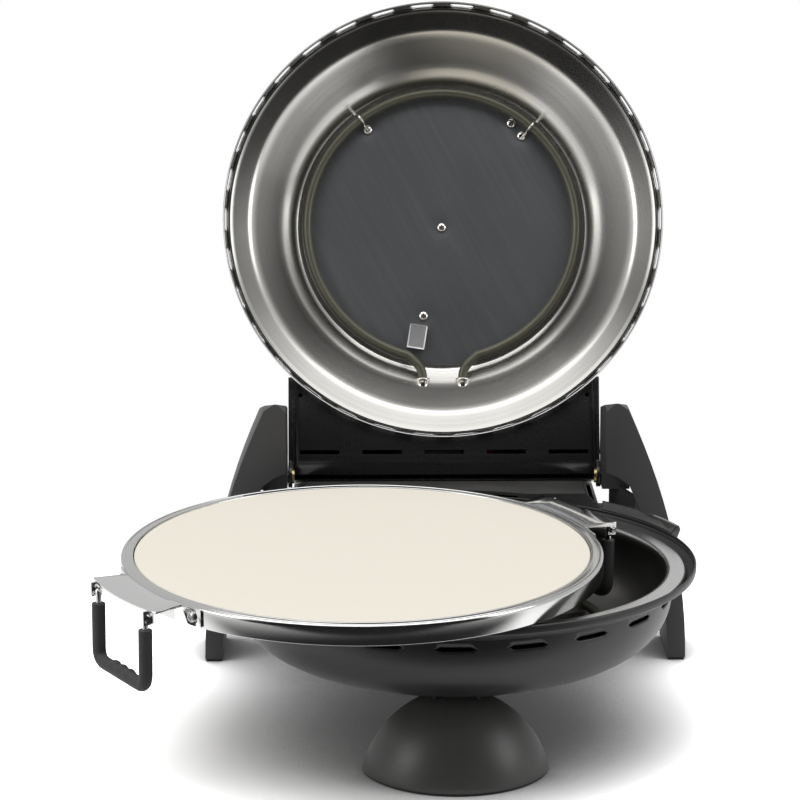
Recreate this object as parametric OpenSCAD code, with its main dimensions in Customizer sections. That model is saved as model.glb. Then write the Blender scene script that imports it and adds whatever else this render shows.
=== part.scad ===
// Electric pizza maker: hinged domed lid, bowl base and a lift-off stone tray.
// Millimetres. The lid is drawn open, with the tray lifted onto the bowl's lip.
// The origin is the middle of the front foot's pad, on the ground.

/* [Bowl] */
// Overhang of the lip beyond the bowl's wall
lip_out = 16.2; // [14:0.1:20]
// Height of the lip above the ground
lip_z = 125; // [115:1:135]
// Radius of the bowl below the flared lip
bowl_r = 152.8; // [148:0.1:156]
// Drop from the lip to the top of the straight wall
flare_h = 13; // [10:1:16]
// Depth of the bowl below the flare
bowl_depth = 63; // [56:1:66]
// Thickness of the pressed shells
shell_t = 1; // [0.8:0.1:1.4]
// Number of vents round the bowl
bowl_vents = 20; // [12:1:24]
// Length of a bowl vent
bowl_vent_l = 26; // [16:1:30]
// Distance of the bowl behind the front foot's pad
bowl_y = 115; // [105:1:125]

/* [Base reflector and element] */
// Step in from the bowl's wall to the edge of the bright flange
flange_step = 4.8; // [3:0.1:8]
// Width of the reflectors' curved walls
curve_w = 36; // [28:1:38]
// Depth of the reflector below its flange
base_reflector_h = 50; // [46:1:52]
// Thickness of the reflectors
sheet_t = 1.2; // [1:0.1:1.6]
// Step in from the edge of the reflector's floor to the lower heating ring
lower_step = 6; // [5:0.5:14]
// Diameter of the heating tubes
tube_d = 7; // [6:0.5:8]
// Spread of the lower element's two ends
lower_gap = 18; // [14:1:24]
// Height of the lower element above the reflector's floor
lower_ring_rise = 7.5; // [6:0.5:12]

/* [Foot and legs] */
// Radius of the domed front foot
foot_r = 66; // [60:1:72]
// Depth of the foot, front to back
foot_depth = 49; // [44:1:56]
// Thickness of the rubber pads
pad_t = 2; // [1.5:0.5:3]
// Half spread of the rear legs on the ground
leg_x = 181.5; // [176:0.5:186]
// Width of a leg at the ground
leg_w = 13.5; // [12:0.5:18]
// Distance of the legs' front faces before the hinge
leg_front = 46.5; // [42:0.5:50]
// Depth of the legs, front to back
leg_d = 60; // [54:1:66]
// Height of the legs
leg_h = 199; // [194:1:204]
// Wall thickness of the legs
leg_t = 3; // [2:0.5:4]

/* [Hinge] */
// Distance of the hinge behind the bowl's lip
hinge_back = 28.5; // [26:0.5:32]
// Height of the hinge above the lip
hinge_rise = 7.3; // [7:0.1:8.5]
// Angle at which the lid stands open
lid_open = 107.8; // [95:0.1:110]
// Half width of the hinge box
box_x = 115.5; // [110:0.5:118]
// Depth of the hinge box, front to back
box_d = 80; // [74:1:86]
// Height of the hinge box
box_h = 55; // [50:1:58]
// Thickness of the hinge arms
arm_t = 3; // [2.5:0.5:3.5]
// Diameter of the hinge pins
pin_d = 8; // [6:0.5:9]

/* [Lid] */
// Step in from the bowl's lip to the lid's hem
lid_in = 0.4; // [0.4:0.1:2]
// Width of the flared hem round the dome
hem_w = 5.1; // [4:0.1:8]
// Depth of the flared hem
hem_h = 9; // [8:0.5:11]
// Height of the dome above the hem
dome_h = 71; // [66:1:80]
// Number of vents round the lid's hem
lid_vents = 34; // [20:1:36]
// Length of a lid vent
lid_vent_l = 17; // [12:1:19]
// Depth of the lid's reflector below its hem
lid_floor = 49; // [46:1:54]
// Step in from the edge of the lid reflector's floor to the dark plate
plate_step = 3; // [1:0.5:8]
// Step in from the same edge to the upper heating ring
upper_step = 7; // [6:0.5:14]
// Depth of the upper element below the hem
upper_ring_h = 40; // [36:0.5:42]
// Spread of the upper element's two tails
tail_gap = 31; // [28:1:36]

/* [Tray] */
// Radius of the baking stone
stone_r = 155; // [150:1:158]
// Thickness of the baking stone
stone_t = 12; // [10:0.5:14]
// Width of the tray's rim round the stone
rim_w = 8.6; // [7:0.1:9]
// Clearance of the stone in its rim
stone_gap = 0.4; // [0.2:0.1:0.8]
// Tray's place from the bowl's middle, sideways
tray_x = -62.4; // [-70:0.1:-56]
// Tray's place from the bowl's middle, front to back
tray_y = -39.2; // [-44:0.1:-34]
// Height of the tray's underside above the lip
tray_rise = 3.2; // [3.2:0.1:6]
// Slope of the tray as it lies on the bowl
tray_tilt = 1.27; // [0:0.01:1.5]
// Direction of the front handle, from above
handle_az = 212; // [208:1:216]

/* [Tray handles] */
// Reach of the bail's axis beyond the tray's rim
bail_reach = 20; // [18:1:24]
// Half angle between the two lugs of a bracket
lug_a = 11.4; // [10:0.1:13]
// Drop of the bail below its axis
bail_h = 47; // [44:1:50]
// Diameter of the bail's wire
wire_d = 4; // [3:0.5:5]
// Diameter of the rubber grip
grip_d = 9; // [8:0.5:11]

/* [Lid handle and control] */
// Length of the lid's handle
handle_l = 130; // [110:1:150]
// Diameter of the lid's handle
handle_d = 20; // [16:1:24]
// Step in from the dome's edge to the handle's posts
handle_in = 45.5; // [40:0.5:52]
// Diameter of the thermostat knob
knob_d = 36; // [30:1:44]

/* [Hidden] */
$fn = 96;

seat = 0.2;      // clearance of pieces that rest on each other
fit_gap = 0.3;   // clearance of pieces that pass each other
run_gap = 0.05;  // radial clearance of a turning fit
belly_n = 24;    // steps of a rounded profile
belly_e = 2.8;   // squareness of the bowl and the dome

neck_z = lip_z - flare_h;
bowl_bottom = neck_z - bowl_depth;
flange_z = lip_z - 5;
base_floor_z = flange_z - 2.5 - base_reflector_h;
lower_ring_z = base_floor_z + sheet_t + lower_ring_rise;
lip_r = bowl_r + lip_out;
lid_r = lip_r - lid_in;
dome_r = lid_r - hem_w;
hinge_y = lip_r + hinge_back;
leg_y = hinge_y - leg_front;
handle_r = dome_r - handle_in;
post_z = dome_out(handle_r) - 8;   // foot and length of the handle's posts
post_l = 30;
lid_pad = 14;                      // thickness of the lid's insulation
flange_r = bowl_r - flange_step;
floor_r = flange_r - curve_w;
lower_ring_r = floor_r - lower_step;
tail_l = 10;                       // straight ends of the lower element
lower_a = asin(lower_gap / 2 / norm([lower_ring_r, tail_l])) + atan(tail_l / lower_ring_r);
plate_r = floor_r - plate_step;
upper_ring_r = floor_r - upper_step;
foot_bolt_x = 14;
foot_bolt_y = 17.5;
pad_gap = 9.5;                      // from the middle of the foot's bolts to the disc
pad_r = bowl_y - foot_bolt_y - pad_gap;  // the insulation disc in the bowl
bolt_x = 60;                       // places of the bolts from the bowl into the housing
bolt_y = sqrt(bowl_r * bowl_r - bolt_x * bolt_x) + 2;
foot_lean = 10;                    // how far the arc's centre is behind the foot's axis
foot_drop = 12;                    // and below the floor
foot_seat = 34;                    // height of the seat for the foot's bolts
hinge_z = lip_z + hinge_rise;
rim_h = 0.4 - hinge_rise;          // the hem's height from the hinge axis, lid shut
arm_x = box_x + fit_gap;
leg_in = arm_x + arm_t + 0.5;      // the legs' inner faces beside the arms
house_x = box_x - 0.5;
wall_y = bowl_r + 5.2;             // front of the rear housing, from the bowl's middle
house_back = hinge_y + 47.5;
collar_h = 5;
stone_z = 1.4;
ring_h = stone_z + stone_t + 0.1;
ring_r = stone_r + stone_gap + rim_w;
bail_r = ring_r + bail_reach;
axis_z = ring_h - 7;

// Height of the dome's outer face at radius r, above the hem's edge.
function dome_out(r) = hem_h + dome_h * pow(1 - pow(r / dome_r, belly_e), 1 / belly_e);

// Points of a quarter of a rounded belly, from its widest edge to the middle.
function belly(r, d, e = belly_e) =
    [for (i = [0:belly_n]) let (a = 90 * i / belly_n)
        [r * pow(abs(cos(a)), 2 / e), d * pow(abs(sin(a)), 2 / e)]];

// A solid of the bowl's outline, drawn in by t.
module bowl_solid(t = 0, top = 0) {
    rotate_extrude() polygon(concat(
        [[0, lip_z + top], [lip_r - t, lip_z + top], [lip_r - t, lip_z - 2]],
        [for (p = belly(bowl_r - t, bowl_depth - t)) [p[0], neck_z - p[1]]]));
}

// A solid of the lid's outline, drawn in by t; its hem is at z = 0.
module dome_solid(t = 0, low = 0) {
    rotate_extrude() polygon(concat(
        [[0, -low], [lid_r - t, -low], [lid_r - t, 3], [lid_r - 2 - t, hem_h - 0.6]],
        [for (p = belly(dome_r - t, dome_h - t)) [p[0], hem_h + p[1]]]));
}

// A sheet that follows a path of [r, z] points, t thick upwards.
module spun_sheet(path, t) {
    n = len(path);
    rotate_extrude() polygon(concat(path,
        [for (i = [n - 1:-1:0]) [path[i][0], path[i][1] + t]]));
}

module vents(count, r, z, l, h, start) {
    for (i = [0:count - 1]) rotate([0, 0, start + i * 360 / count])
        translate([r, 0, z]) rotate([90, 0, 90]) linear_extrude(16, center = true)
            union() {
                square([l - h, h], center = true);
                for (s = [-1, 1]) translate([s * (l - h) / 2, 0]) circle(d = h, $fn = 16);
            }
}

// A straight run of tube from point a to point b, with a round knuckle at a.
module run(a, b, d, bead = 0.3) {
    v = b - a;
    translate(a) {
        sphere(d = d + bead, $fn = 32);
        rotate([0, acos(v[2] / norm(v)), atan2(v[1], v[0])]) cylinder(d = d, h = norm(v), $fn = 32);
    }
}

module screw(d = 3, l = 10, head = 6) {
    difference() {
        union() {
            translate([0, 0, -l]) cylinder(d = d, h = l, $fn = 24);
            intersection() {
                cylinder(d = head, h = head * 0.35, $fn = 32);
                translate([0, 0, head * 0.35 - head * 0.9]) sphere(r = head * 0.9, $fn = 32);
            }
        }
        for (a = [0, 90]) rotate([0, 0, a]) translate([0, 0, head * 0.35])
            cube([head * 0.6, head * 0.14, head * 0.36], center = true);
    }
}

module at_bowl() { translate([0, bowl_y, 0]) children(); }
module at_lid() {
    translate([0, bowl_y + hinge_y, hinge_z]) rotate([-lid_open, 0, 0]) children();
}
module at_dome() { at_lid() translate([0, -hinge_y, rim_h]) children(); }
module at_tray() {
    at_bowl() translate([tray_x, tray_y, lip_z + tray_rise]) rotate([tray_tilt, 0, 0]) children();
}
// The frame of a bail: X outwards from the tray, Z straight up.
module at_bail(az) {
    at_tray() rotate([0, 0, az]) translate([bail_r, 0, axis_z])
        rotate([0, asin(sin(az) * sin(tray_tilt)), 0]) children();
}
module both() { for (m = [0, 1]) mirror([m, 0, 0]) children(); }

// ---- base ----

module bowl_shell() color("#26272a") at_bowl() difference() {
    bowl_solid();
    bowl_solid(shell_t, 1);
    vents(bowl_vents, bowl_r, neck_z - 6, bowl_vent_l, 3.2, -90.9);
    for (i = [-1, 1]) translate([i * foot_bolt_x, foot_bolt_y - bowl_y, 0]) cylinder(d = 4.4, h = 80);
    for (s = [-1, 1]) translate([s * bolt_x, bolt_y, neck_z - 17]) rotate([-90, 0, 0])
        cylinder(d = 4.3, h = 30, center = true);
}

function reflector_wall(r0, r1, d) = [for (i = [0:16]) let (a = 90 * i / 16)
    [r1 + (r0 - r1) * cos(a), -d * sin(a)]];

module base_reflector() color("#8d8f92") at_bowl() difference() {
    translate([0, 0, flange_z - 2.5]) spun_sheet(concat(
        [[flare_inner(flange_z - sheet_t) - seat, 2.5 - sheet_t], [flange_r + 2, 1.5]],
        reflector_wall(flange_r, floor_r, base_reflector_h), [[0, -base_reflector_h]]), sheet_t);
    lower_ends() cylinder(d = 11 + 2 * seat, h = 30, center = true);
    for (a = [30, 150, 270]) rotate([0, 0, a]) translate([lower_ring_r - 12, 0, base_floor_z])
        cylinder(d = 3.3, h = 8, center = true);
}

// Inner radius of the flared lip at height z.
function flare_inner(z) =
    bowl_r - shell_t + (z - neck_z) * (lip_r - bowl_r) / (flare_h - 2);

// Height of the bowl's inner face at radius r.
function bowl_inner(r) = neck_z - (bowl_depth - shell_t)
    * pow(1 - pow(r / (bowl_r - shell_t), belly_e), 1 / belly_e);

module insulation_pad() color("#d9d4c4") at_bowl()
    difference() {
        translate([0, 0, bowl_inner(pad_r) + fit_gap])
            cylinder(r = pad_r, h = base_floor_z - seat - bowl_inner(pad_r) - fit_gap);
        lower_ends() cylinder(d = 14, h = 60, center = true);
        for (a = [30, 150, 270]) rotate([0, 0, a]) translate([lower_ring_r - 12, 0, base_floor_z])
            cylinder(d = 8, h = 16, center = true);
    }

// The two places where the lower element's tails go down through the floor.
module lower_ends() for (s = [-1, 1]) rotate([0, 0, 90 + s * lower_a])
    translate([lower_ring_r, -s * tail_l, lower_ring_z - 10]) children();

module lower_element() color("#3b3d36") at_bowl() translate([0, 0, lower_ring_z]) {
    rotate([0, 0, 90 + lower_a]) rotate_extrude(angle = 360 - 2 * lower_a, $fn = 144)
        translate([lower_ring_r, 0]) circle(d = tube_d, $fn = 24);
    for (s = [-1, 1]) rotate([0, 0, 90 + s * lower_a]) {
        run([lower_ring_r, 0, 0], [lower_ring_r, -s * tail_l, 0], tube_d, 1.6);
        run([lower_ring_r, -s * tail_l, 0], [lower_ring_r, -s * tail_l, -14], tube_d, 1.6);
    }
}

module lower_sleeves() color("#c9c8c4") at_bowl() lower_ends() difference() {
    translate([0, 0, -3]) cylinder(d = 11, h = 8, $fn = 48);
    cylinder(d = tube_d + 2 * seat, h = 20, center = true, $fn = 48);
}

module element_supports() color("#a9aaa8") at_bowl() for (a = [30, 150, 270]) rotate([0, 0, a])
    translate([lower_ring_r, 0, base_floor_z + sheet_t + seat]) difference() {
        union() {
            translate([-16, -4, 0]) cube([14, 8, 1.2]);
            translate([-3, -4, 0]) cube([1.2, 8, lower_ring_rise + 4]);
            translate([-3, -4, 0]) cube([7, 8, 1.2]);
            translate([2.8, -4, 0]) cube([1.2, 8, lower_ring_rise - 2]);
        }
        translate([0, 0, lower_ring_rise - seat]) rotate([90, 0, 0])
            cylinder(d = tube_d + 2 * seat, h = 20, center = true, $fn = 48);
        translate([-12, 0, 0]) cylinder(d = 3.3, h = 8, center = true, $fn = 24);
    }

module support_screws() color("#b9b9b6") at_bowl() for (a = [30, 150, 270]) rotate([0, 0, a])
    translate([lower_ring_r - 12, 0, base_floor_z + sheet_t + seat + 1.25]) screw(3, 7, 6);

// The front foot is a slice of a dome, flat at the back. The dome's side is one wide arc.
module foot_dome(t = 0) {
    reach = norm([foot_r + foot_lean, foot_drop]);
    low = asin(foot_drop / reach);
    high = acos(foot_lean / (reach - t));
    rotate_extrude($fn = 128) polygon(concat(
        [for (i = [0:16]) let (a = low + (high - low) * i / 16)
            [max(0, (reach - t) * cos(a) - foot_lean), (reach - t) * sin(a) - foot_drop]],
        [[0, -4], [foot_r - t, -4]]));
}

module at_foot() { translate([0, foot_r - foot_depth / 2, 0]) children(); }

module front_foot() color("#2f3033") difference() {
    at_foot() intersection() {
        foot_dome();
        translate([-foot_r, -foot_r, pad_t]) cube([2 * foot_r, foot_depth, foot_r]);
    }
    at_foot() difference() {
        foot_dome(3);
        translate([-foot_r, foot_depth - foot_r - 3, -1]) cube([2 * foot_r, foot_r, foot_r]);
        translate([-foot_bolt_x - 7, -foot_r, foot_seat]) cube([2 * foot_bolt_x + 14, 2 * foot_r, foot_r]);
    }
    at_bowl() bowl_solid(-seat);
    for (i = [-1, 1]) translate([i * foot_bolt_x, foot_bolt_y, 0]) cylinder(d = 4.4, h = 90);
}

module foot_pad() color("#151515") at_foot() linear_extrude(pad_t - 0.02) intersection() {
    circle(r = foot_r - 1.5, $fn = 128);
    translate([-foot_r, 1.5 - foot_r]) square([2 * foot_r, foot_depth - 3]);
}

module foot_bolt() color("#8f9092")
    for (i = [-1, 1]) translate([i * foot_bolt_x, foot_bolt_y, foot_seat - 0.05]) mirror([0, 0, 1])
        screw(4, bowl_bottom + 14 - foot_seat, 7);

// Front outline of a leg: an outer and an inner parabola that lean in to the hinge.
function leg_out(z) = leg_x - (leg_x - 133) * pow(z / leg_h, 2);
function leg_inn(z) = leg_x - leg_w - 0.00168 * z * z;

module leg_outline(t = 0) {
    ledge = hinge_z + 14;
    corner = t > 0 ? 2 : 6;            // lets the lid's hem pass the top
    polygon(concat(
        [for (i = [0:14]) let (z = pad_t + (leg_h - pad_t - 5) * i / 14) [leg_out(z) - t, z]],
        [[leg_out(leg_h) - 2 - t, leg_h - 2 - t], [leg_out(leg_h) - 5 - t, leg_h - t],
         [leg_in + t + corner, leg_h - t], [leg_in + t, leg_h - t - corner],
         [leg_in + t, ledge + t], [leg_inn(ledge) - 3 + t, ledge - 4 + t]],
        [for (i = [0:14]) let (z = (hinge_z + 4) * (1 - i / 14) + pad_t * i / 14)
            [leg_inn(z) + t, z]]));
}

module leg() at_bowl() difference() {
    union() {
        difference() {
            translate([0, leg_y + leg_d, 0]) rotate([90, 0, 0])
                linear_extrude(leg_d) leg_outline();
            translate([0, leg_y + leg_d + 1, 0]) rotate([90, 0, 0])
                linear_extrude(leg_d + 1 - leg_t) difference() {
                    leg_outline(leg_t);
                    translate([0, -1]) square([300, pad_t + leg_t + 1]);
                }
        }
        // hinge boss and the link to the rear housing
        translate([leg_in, hinge_y - 14, hinge_z - 7])
            cube([leg_inn(hinge_z) + 1.5 - leg_in, 24, 22]);
        // slanted wall that closes the inside of the leg
        translate([leg_inn(hinge_z - 14), leg_y + leg_t - 1, neck_z - 12]) rotate([0, 0, 107])
            cube([leg_d - 7, leg_t, hinge_z + 6.5 - neck_z]);
        translate([house_x + seat, hinge_y - 14, neck_z - 24])
            cube([leg_inn(neck_z) + 1.5 - house_x, 24, 20]);
    }
    // the top falls away to the back
    translate([0, leg_y, leg_h]) rotate([-15, 0, 0]) translate([0, 0.5, 0]) cube([300, 100, 60]);
    translate([0, hinge_y, hinge_z]) rotate([0, 90, 0]) cylinder(d = pin_d, h = leg_in + 12);
    for (y = [-8, 4]) translate([house_x - 1, hinge_y + y, neck_z - 14]) rotate([0, 90, 0])
        cylinder(d = 4.3, h = 46, $fn = 32);
}
module right_leg() color("#232427") leg();
module left_leg() color("#232427") mirror([1, 0, 0]) leg();

module leg_pads() color("#151515") at_bowl() both()
    translate([leg_x - leg_w + 1, leg_y + 1, 0]) cube([leg_w - 2, leg_d - 2, pad_t - 0.02]);

module leg_screws() color("#8f9092") at_bowl() both() for (y = [-8, 4])
    translate([house_x + 27, hinge_y + y, neck_z - 14]) rotate([0, 90, 0]) {
        translate([0, 0, -36]) cylinder(d = 4, h = 36, $fn = 24);
    }

// Side outline of the housing under the hinge: its sloped back stops the open lid.
module house_outline(t = 0) {
    slope = tan(lid_open - 90);
    top = hinge_z - 3.8;
    polygon([[wall_y - 26 + t, neck_z - 30 + t], [wall_y - 26 + t, neck_z - 8 - t],
        [wall_y + t, neck_z + 2], [wall_y + t, top - t], [hinge_y - 1, top - t],
        [house_back - t, top - t - slope * (house_back - hinge_y + 1)],
        [house_back - t, neck_z - 30 + t]]);
}

module rear_housing() color("#1f2023") at_bowl() difference() {
    rotate([90, 0, 90]) linear_extrude(2 * house_x, center = true) house_outline();
    intersection() {
        rotate([90, 0, 90]) linear_extrude(2 * (house_x - 3), center = true) house_outline(2.5);
        translate([-150, 0, 0]) cube([300, 400, 300]);
    }
    translate([-house_x + 2.5, house_back - 3, neck_z - 28]) cube([2 * house_x - 5, 9, 24]);
    bowl_solid(-fit_gap, 30);
    for (s = [-1, 1]) translate([s * bolt_x, bolt_y + 8, neck_z - 17]) rotate([-90, 0, 0])
        cylinder(d = 4.3, h = 40, center = true);
    for (s = [-1, 1], y = [-8, 4]) translate([s * house_x, hinge_y + y, neck_z - 14])
        rotate([0, 90, 0]) cylinder(d = 4.1, h = 30, center = true, $fn = 32);
    both() translate([house_x, 0, hinge_z - 3.8]) rotate([0, 45, 0])
        translate([-7, 0, -7]) cube([14, 600, 14], center = false);
}

module housing_cover() color("#1f2023") at_bowl() difference() {
    translate([-house_x + 2.8, house_back - 2.6, neck_z - 27.7])
        cube([2 * house_x - 5.6, 2.4, 23.4]);
    translate([60, house_back, neck_z - 16]) cube([30 + 2 * seat, 20, 20 + 2 * seat], center = true);
    for (s = [-1, 1]) translate([s * (house_x - 9), house_back, neck_z - 16]) rotate([90, 0, 0])
        cylinder(d = 3.3, h = 20, center = true, $fn = 24);
}

module housing_screws() color("#8f9092") at_bowl() {
    for (s = [-1, 1]) translate([s * (house_x - 9), house_back - seat + 0.05, neck_z - 16])
        rotate([-90, 0, 0]) screw(3, 8, 6);
    for (s = [-1, 1]) translate([s * bolt_x, bolt_y, neck_z - 17]) rotate([90, 0, 0])
        screw(4, 14, 7);
}

// Raised trim on the rear of the lip, either side of the housing.
module collar_wings() color("#1a1b1e") at_bowl() difference() {
    rotate([0, 0, 20]) rotate_extrude(angle = 140) polygon([
        [lip_r - 0.3, lip_z + seat], [lip_r + seat, lip_z + seat], [lip_r + seat, lip_z - 4],
        [lip_r + 4, lip_z - 5], [lip_r + 7, lip_z + 2], [lip_r + 6, lip_z + collar_h],
        [lip_r + 3.5, lip_z + collar_h]]);
    translate([0, 200, lip_z]) cube([2 * house_x + 2 * seat, 150, 40], center = true);
}

module hinge_pins() color("#b5b6b8") at_bowl() both()
    translate([box_x - 1.4, hinge_y, hinge_z]) rotate([0, 90, 0])
        cylinder(d = pin_d, h = leg_in + 13.3 - box_x, $fn = 64);

module power_inlet() color("#18191b") at_bowl() translate([60, house_back, neck_z - 16])
    difference() {
        union() {
            translate([-15, -18, -10]) cube([30, 18, 20]);
            translate([-18, 0, -12]) cube([36, 2, 24]);
        }
        translate([-12, -14, -7.5]) cube([24, 20, 15]);
        for (x = [-7, 0, 7]) translate([x, -20, 0]) rotate([-90, 0, 0])
            cylinder(d = 1, h = 8, $fn = 16);
    }

module terminal_block() color("#e6e2d6") at_bowl() difference() {
    translate([-40, hinge_y - 12, neck_z - 27.3]) cube([60, 16, 12]);
    for (i = [0:4]) translate([-34 + 12 * i, hinge_y - 4, neck_z - 15]) cylinder(d = 5, h = 6,
        center = true, $fn = 24);
}

// ---- lid ----

module lid_shell() color("#c3c5c7") at_dome() difference() {
    dome_solid();
    dome_solid(shell_t, 1);
    vents(lid_vents, lid_r - 2, 5.4, lid_vent_l, 4, 90 + 360 / lid_vents / 2);
    // wires and the thermostat's tube come in from the hinge box
    translate([0, dome_r, 32]) rotate([90, 0, 0]) cylinder(d = 16, h = 60, center = true);
    post_places() cylinder(d = 4.3, h = 60, center = true, $fn = 32);
}

module lid_reflector() color("#cfd0d1") at_dome() difference() {
    rotate_extrude() polygon(let (p = concat(
        [[dome_r - shell_t - seat - 0.05, hem_h + 1.2], [flange_r + 1, 16.2]],
        [for (q = reflector_wall(flange_r, floor_r, lid_floor - 17)) [q[0], 17 - q[1]]],
        [[0, lid_floor]]), n = len(p)) concat(p,
        [for (i = [n - 1:-1:0]) [p[i][0], p[i][1] + sheet_t]]));
    upper_tails() cylinder(d = 11 + 2 * seat, h = 60, $fn = 32);
    plate_screw_places() cylinder(d = 3.3, h = 20, center = true, $fn = 24);
}

module plate_screw_places() {
    translate([0, 0.4, lid_floor]) children();
    for (p = [[-126.75, 12.9], [-56.15, 10.3], [-48.8, 13.3], [101.7, 37.5]])
        rotate([0, 0, p[0]]) translate([plate_r - p[1], 0, lid_floor]) rotate([0, 0, -p[0]])
            children();
}

module lid_plate() color("#4a4c4f") at_dome() difference() {
    translate([0, 0, lid_floor - 1.4]) cylinder(r = plate_r, h = 1.2, $fn = 144);
    plate_screw_places() cylinder(d = 3.3, h = 20, center = true, $fn = 24);
}

module lid_insulation() color("#d9d4c4") at_dome() difference() {
    translate([0, 0, lid_floor + sheet_t + seat]) cylinder(r = plate_r - 9, h = lid_pad);
    plate_screw_places() cylinder(d = 9, h = 60, center = true, $fn = 24);
}

// The straight tails run to the hinge side, through sleeves in the reflector's wall.
module upper_tails() for (s = [-1, 1])
    translate([s * tail_gap / 2, upper_ring_r + 5, upper_ring_h]) rotate([-90, 0, 0]) children();

upper_a = asin((tail_gap / 2 + 12) / (upper_ring_r + 2));

module upper_element() color("#55564b") at_dome() translate([0, 0, upper_ring_h]) {
    rotate([0, 0, 90 + upper_a]) rotate_extrude(angle = 360 - 2 * upper_a, $fn = 144)
        translate([upper_ring_r, 0]) circle(d = tube_d, $fn = 24);
    for (s = [-1, 1]) {
        e = [s * upper_ring_r * sin(upper_a), upper_ring_r * cos(upper_a), 0];
        k = [s * tail_gap / 2, upper_ring_r + 7, 0];
        run(e, k, tube_d, 1.6);
        run(k, [k[0], upper_ring_r + 38, 0], tube_d, 1.6);
    }
}

module upper_sleeves() color("#d8d5cc") at_dome() for (s = [-1, 1])
    translate([s * tail_gap / 2, upper_ring_r + 14.5, upper_ring_h]) rotate([-90, 0, 0]) difference() {
        cylinder(d = 11, h = 12, $fn = 48);
        translate([0, 0, -1]) cylinder(d = tube_d + 2 * seat, h = 20, $fn = 48);
    }

// Wire loops that carry the upper element.
module element_clips() color("#d0d0ce") at_dome()
    for (a = [127, 48]) rotate([0, 0, -a]) translate([upper_ring_r, 0, 0]) {
        translate([0, 0, upper_ring_h]) rotate([-90, 0, 0]) rotate_extrude(angle = 180, $fn = 48)
            translate([tube_d / 2 + seat + 0.8, 0]) circle(d = 1.6, $fn = 12 + 4);
        for (s = [-1, 1]) translate([s * (tube_d / 2 + seat + 0.8), 0, upper_ring_h])
            cylinder(d = 1.6, h = lid_floor - 1.5 - upper_ring_h, $fn = 16);
    }

module plate_screws() color("#d0d0ce") at_dome() plate_screw_places()
    translate([0, 0, -1.45]) mirror([0, 0, 1]) screw(3, 6, 6.4);

module thermostat_clip() color("#a8a9a8") at_dome() translate([-19, plate_r - 22, lid_floor - 1.45])
    mirror([0, 0, 1]) difference() {
        union() {
            translate([-8, -10, 0]) cube([16, 20, 0.8]);
            translate([-5, -10, 0]) cube([10, 20, 5]);
        }
        translate([0, 0, 2.6]) rotate([90, 0, 0]) cylinder(d = 4, h = 30, center = true, $fn = 32);
    }

module dome_cut() translate([0, -hinge_y, rim_h]) dome_solid(-fit_gap, 20);

module hinge_box_panel() color("#151618") at_lid() difference() {
    translate([-box_x + 1.5, -box_d, 0]) cube([2 * box_x - 3, box_d - 1.2, 1.2]);
    translate([0, -hinge_y, rim_h - 1]) cylinder(r = lid_r + 1, h = 5);
    dome_cut();
    for (i = [-2:2]) translate([i * 47.4, -18.4, 0]) cube([30, 3.2, 6], center = true);
    for (s = [-1, 1]) translate([s * (box_x - 6), -62, 0]) cylinder(d = 3.3, h = 8, center = true,
        $fn = 24);
}

module hinge_box_cover() color("#17181a") at_lid() difference() {
    translate([-box_x, -box_d, 0]) cube([2 * box_x, box_d + 3, box_h]);
    translate([-box_x + 1.3, -box_d + 1.3, -1]) cube([2 * box_x - 2.6, box_d + 0.4, box_h - 0.3]);
    dome_cut();
    rotate([0, 90, 0]) cylinder(d = pin_d + 3, h = 2 * box_x + 20, center = true, $fn = 64);
    for (s = [-1, 1], y = [-38.5, -62]) translate([s * box_x, y, 14]) rotate([0, 90, 0])
        cylinder(d = 4.3, h = 20, center = true, $fn = 32);
    translate([0, -22, box_h]) cylinder(d = 10.6, h = 20, center = true, $fn = 48);
    translate([36, -22, box_h]) cylinder(d = 8 + 2 * seat, h = 20, center = true, $fn = 48);
}

module hinge_arms() color("#1c1d1f") at_lid() both() translate([arm_x, 0, 0]) difference() {
    rotate([90, 0, 90]) linear_extrude(arm_t) difference() {
        union() {
            circle(r = 8.5, $fn = 64);
            polygon([[0, 8.5], [-16, 30], [-box_d + 4, 30], [-box_d + 4, 1.5], [-12, 1.5],
                [-5, -5], [0, -8.5]]);
        }
        circle(d = pin_d + 3, $fn = 64);
        for (y = [-38.5, -62]) translate([y, 14]) circle(d = 4.3, $fn = 32);
    }
    // counterbores that keep the screw heads clear of the legs
    for (y = [-38.5, -62]) translate([arm_t - 1, y, 14]) rotate([0, 90, 0])
        cylinder(d = 7.4, h = 5, $fn = 32);
}

module hinge_bushes() color("#c7a252") at_lid() both() translate([arm_x - 1.6, 0, 0])
    rotate([0, 90, 0]) difference() {
        cylinder(d = pin_d + 3 - 0.04, h = arm_t + 1.6, $fn = 64);
        translate([0, 0, -1]) cylinder(d = pin_d + 2 * run_gap, h = 12, $fn = 64);
    }

module arm_screws() color("#8f9092") at_lid() both() for (y = [-38.5, -62])
    translate([arm_x + arm_t - 0.95, y, 14]) rotate([0, 90, 0]) {
        translate([0, 0, -8]) cylinder(d = 4, h = 8, $fn = 24);
        cylinder(d = 7, h = 1, $fn = 32);
    }

module post_places() for (s = [-1, 1])
    translate([s * (handle_l / 2 - 18), -sqrt(handle_r * handle_r - pow(handle_l / 2 - 18, 2)), post_z])
        children();

module handle_posts() color("#c3c5c7") at_dome() difference() {
    post_places() {
        cylinder(d = 14, h = post_l, $fn = 64);
        translate([0, 0, -6]) cylinder(d = 4, h = post_l, $fn = 24);
    }
    difference() {
        dome_solid(-seat, 0);
        post_places() translate([0, 0, -6]) cylinder(d = 4, h = post_l, $fn = 24);
    }
}

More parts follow.
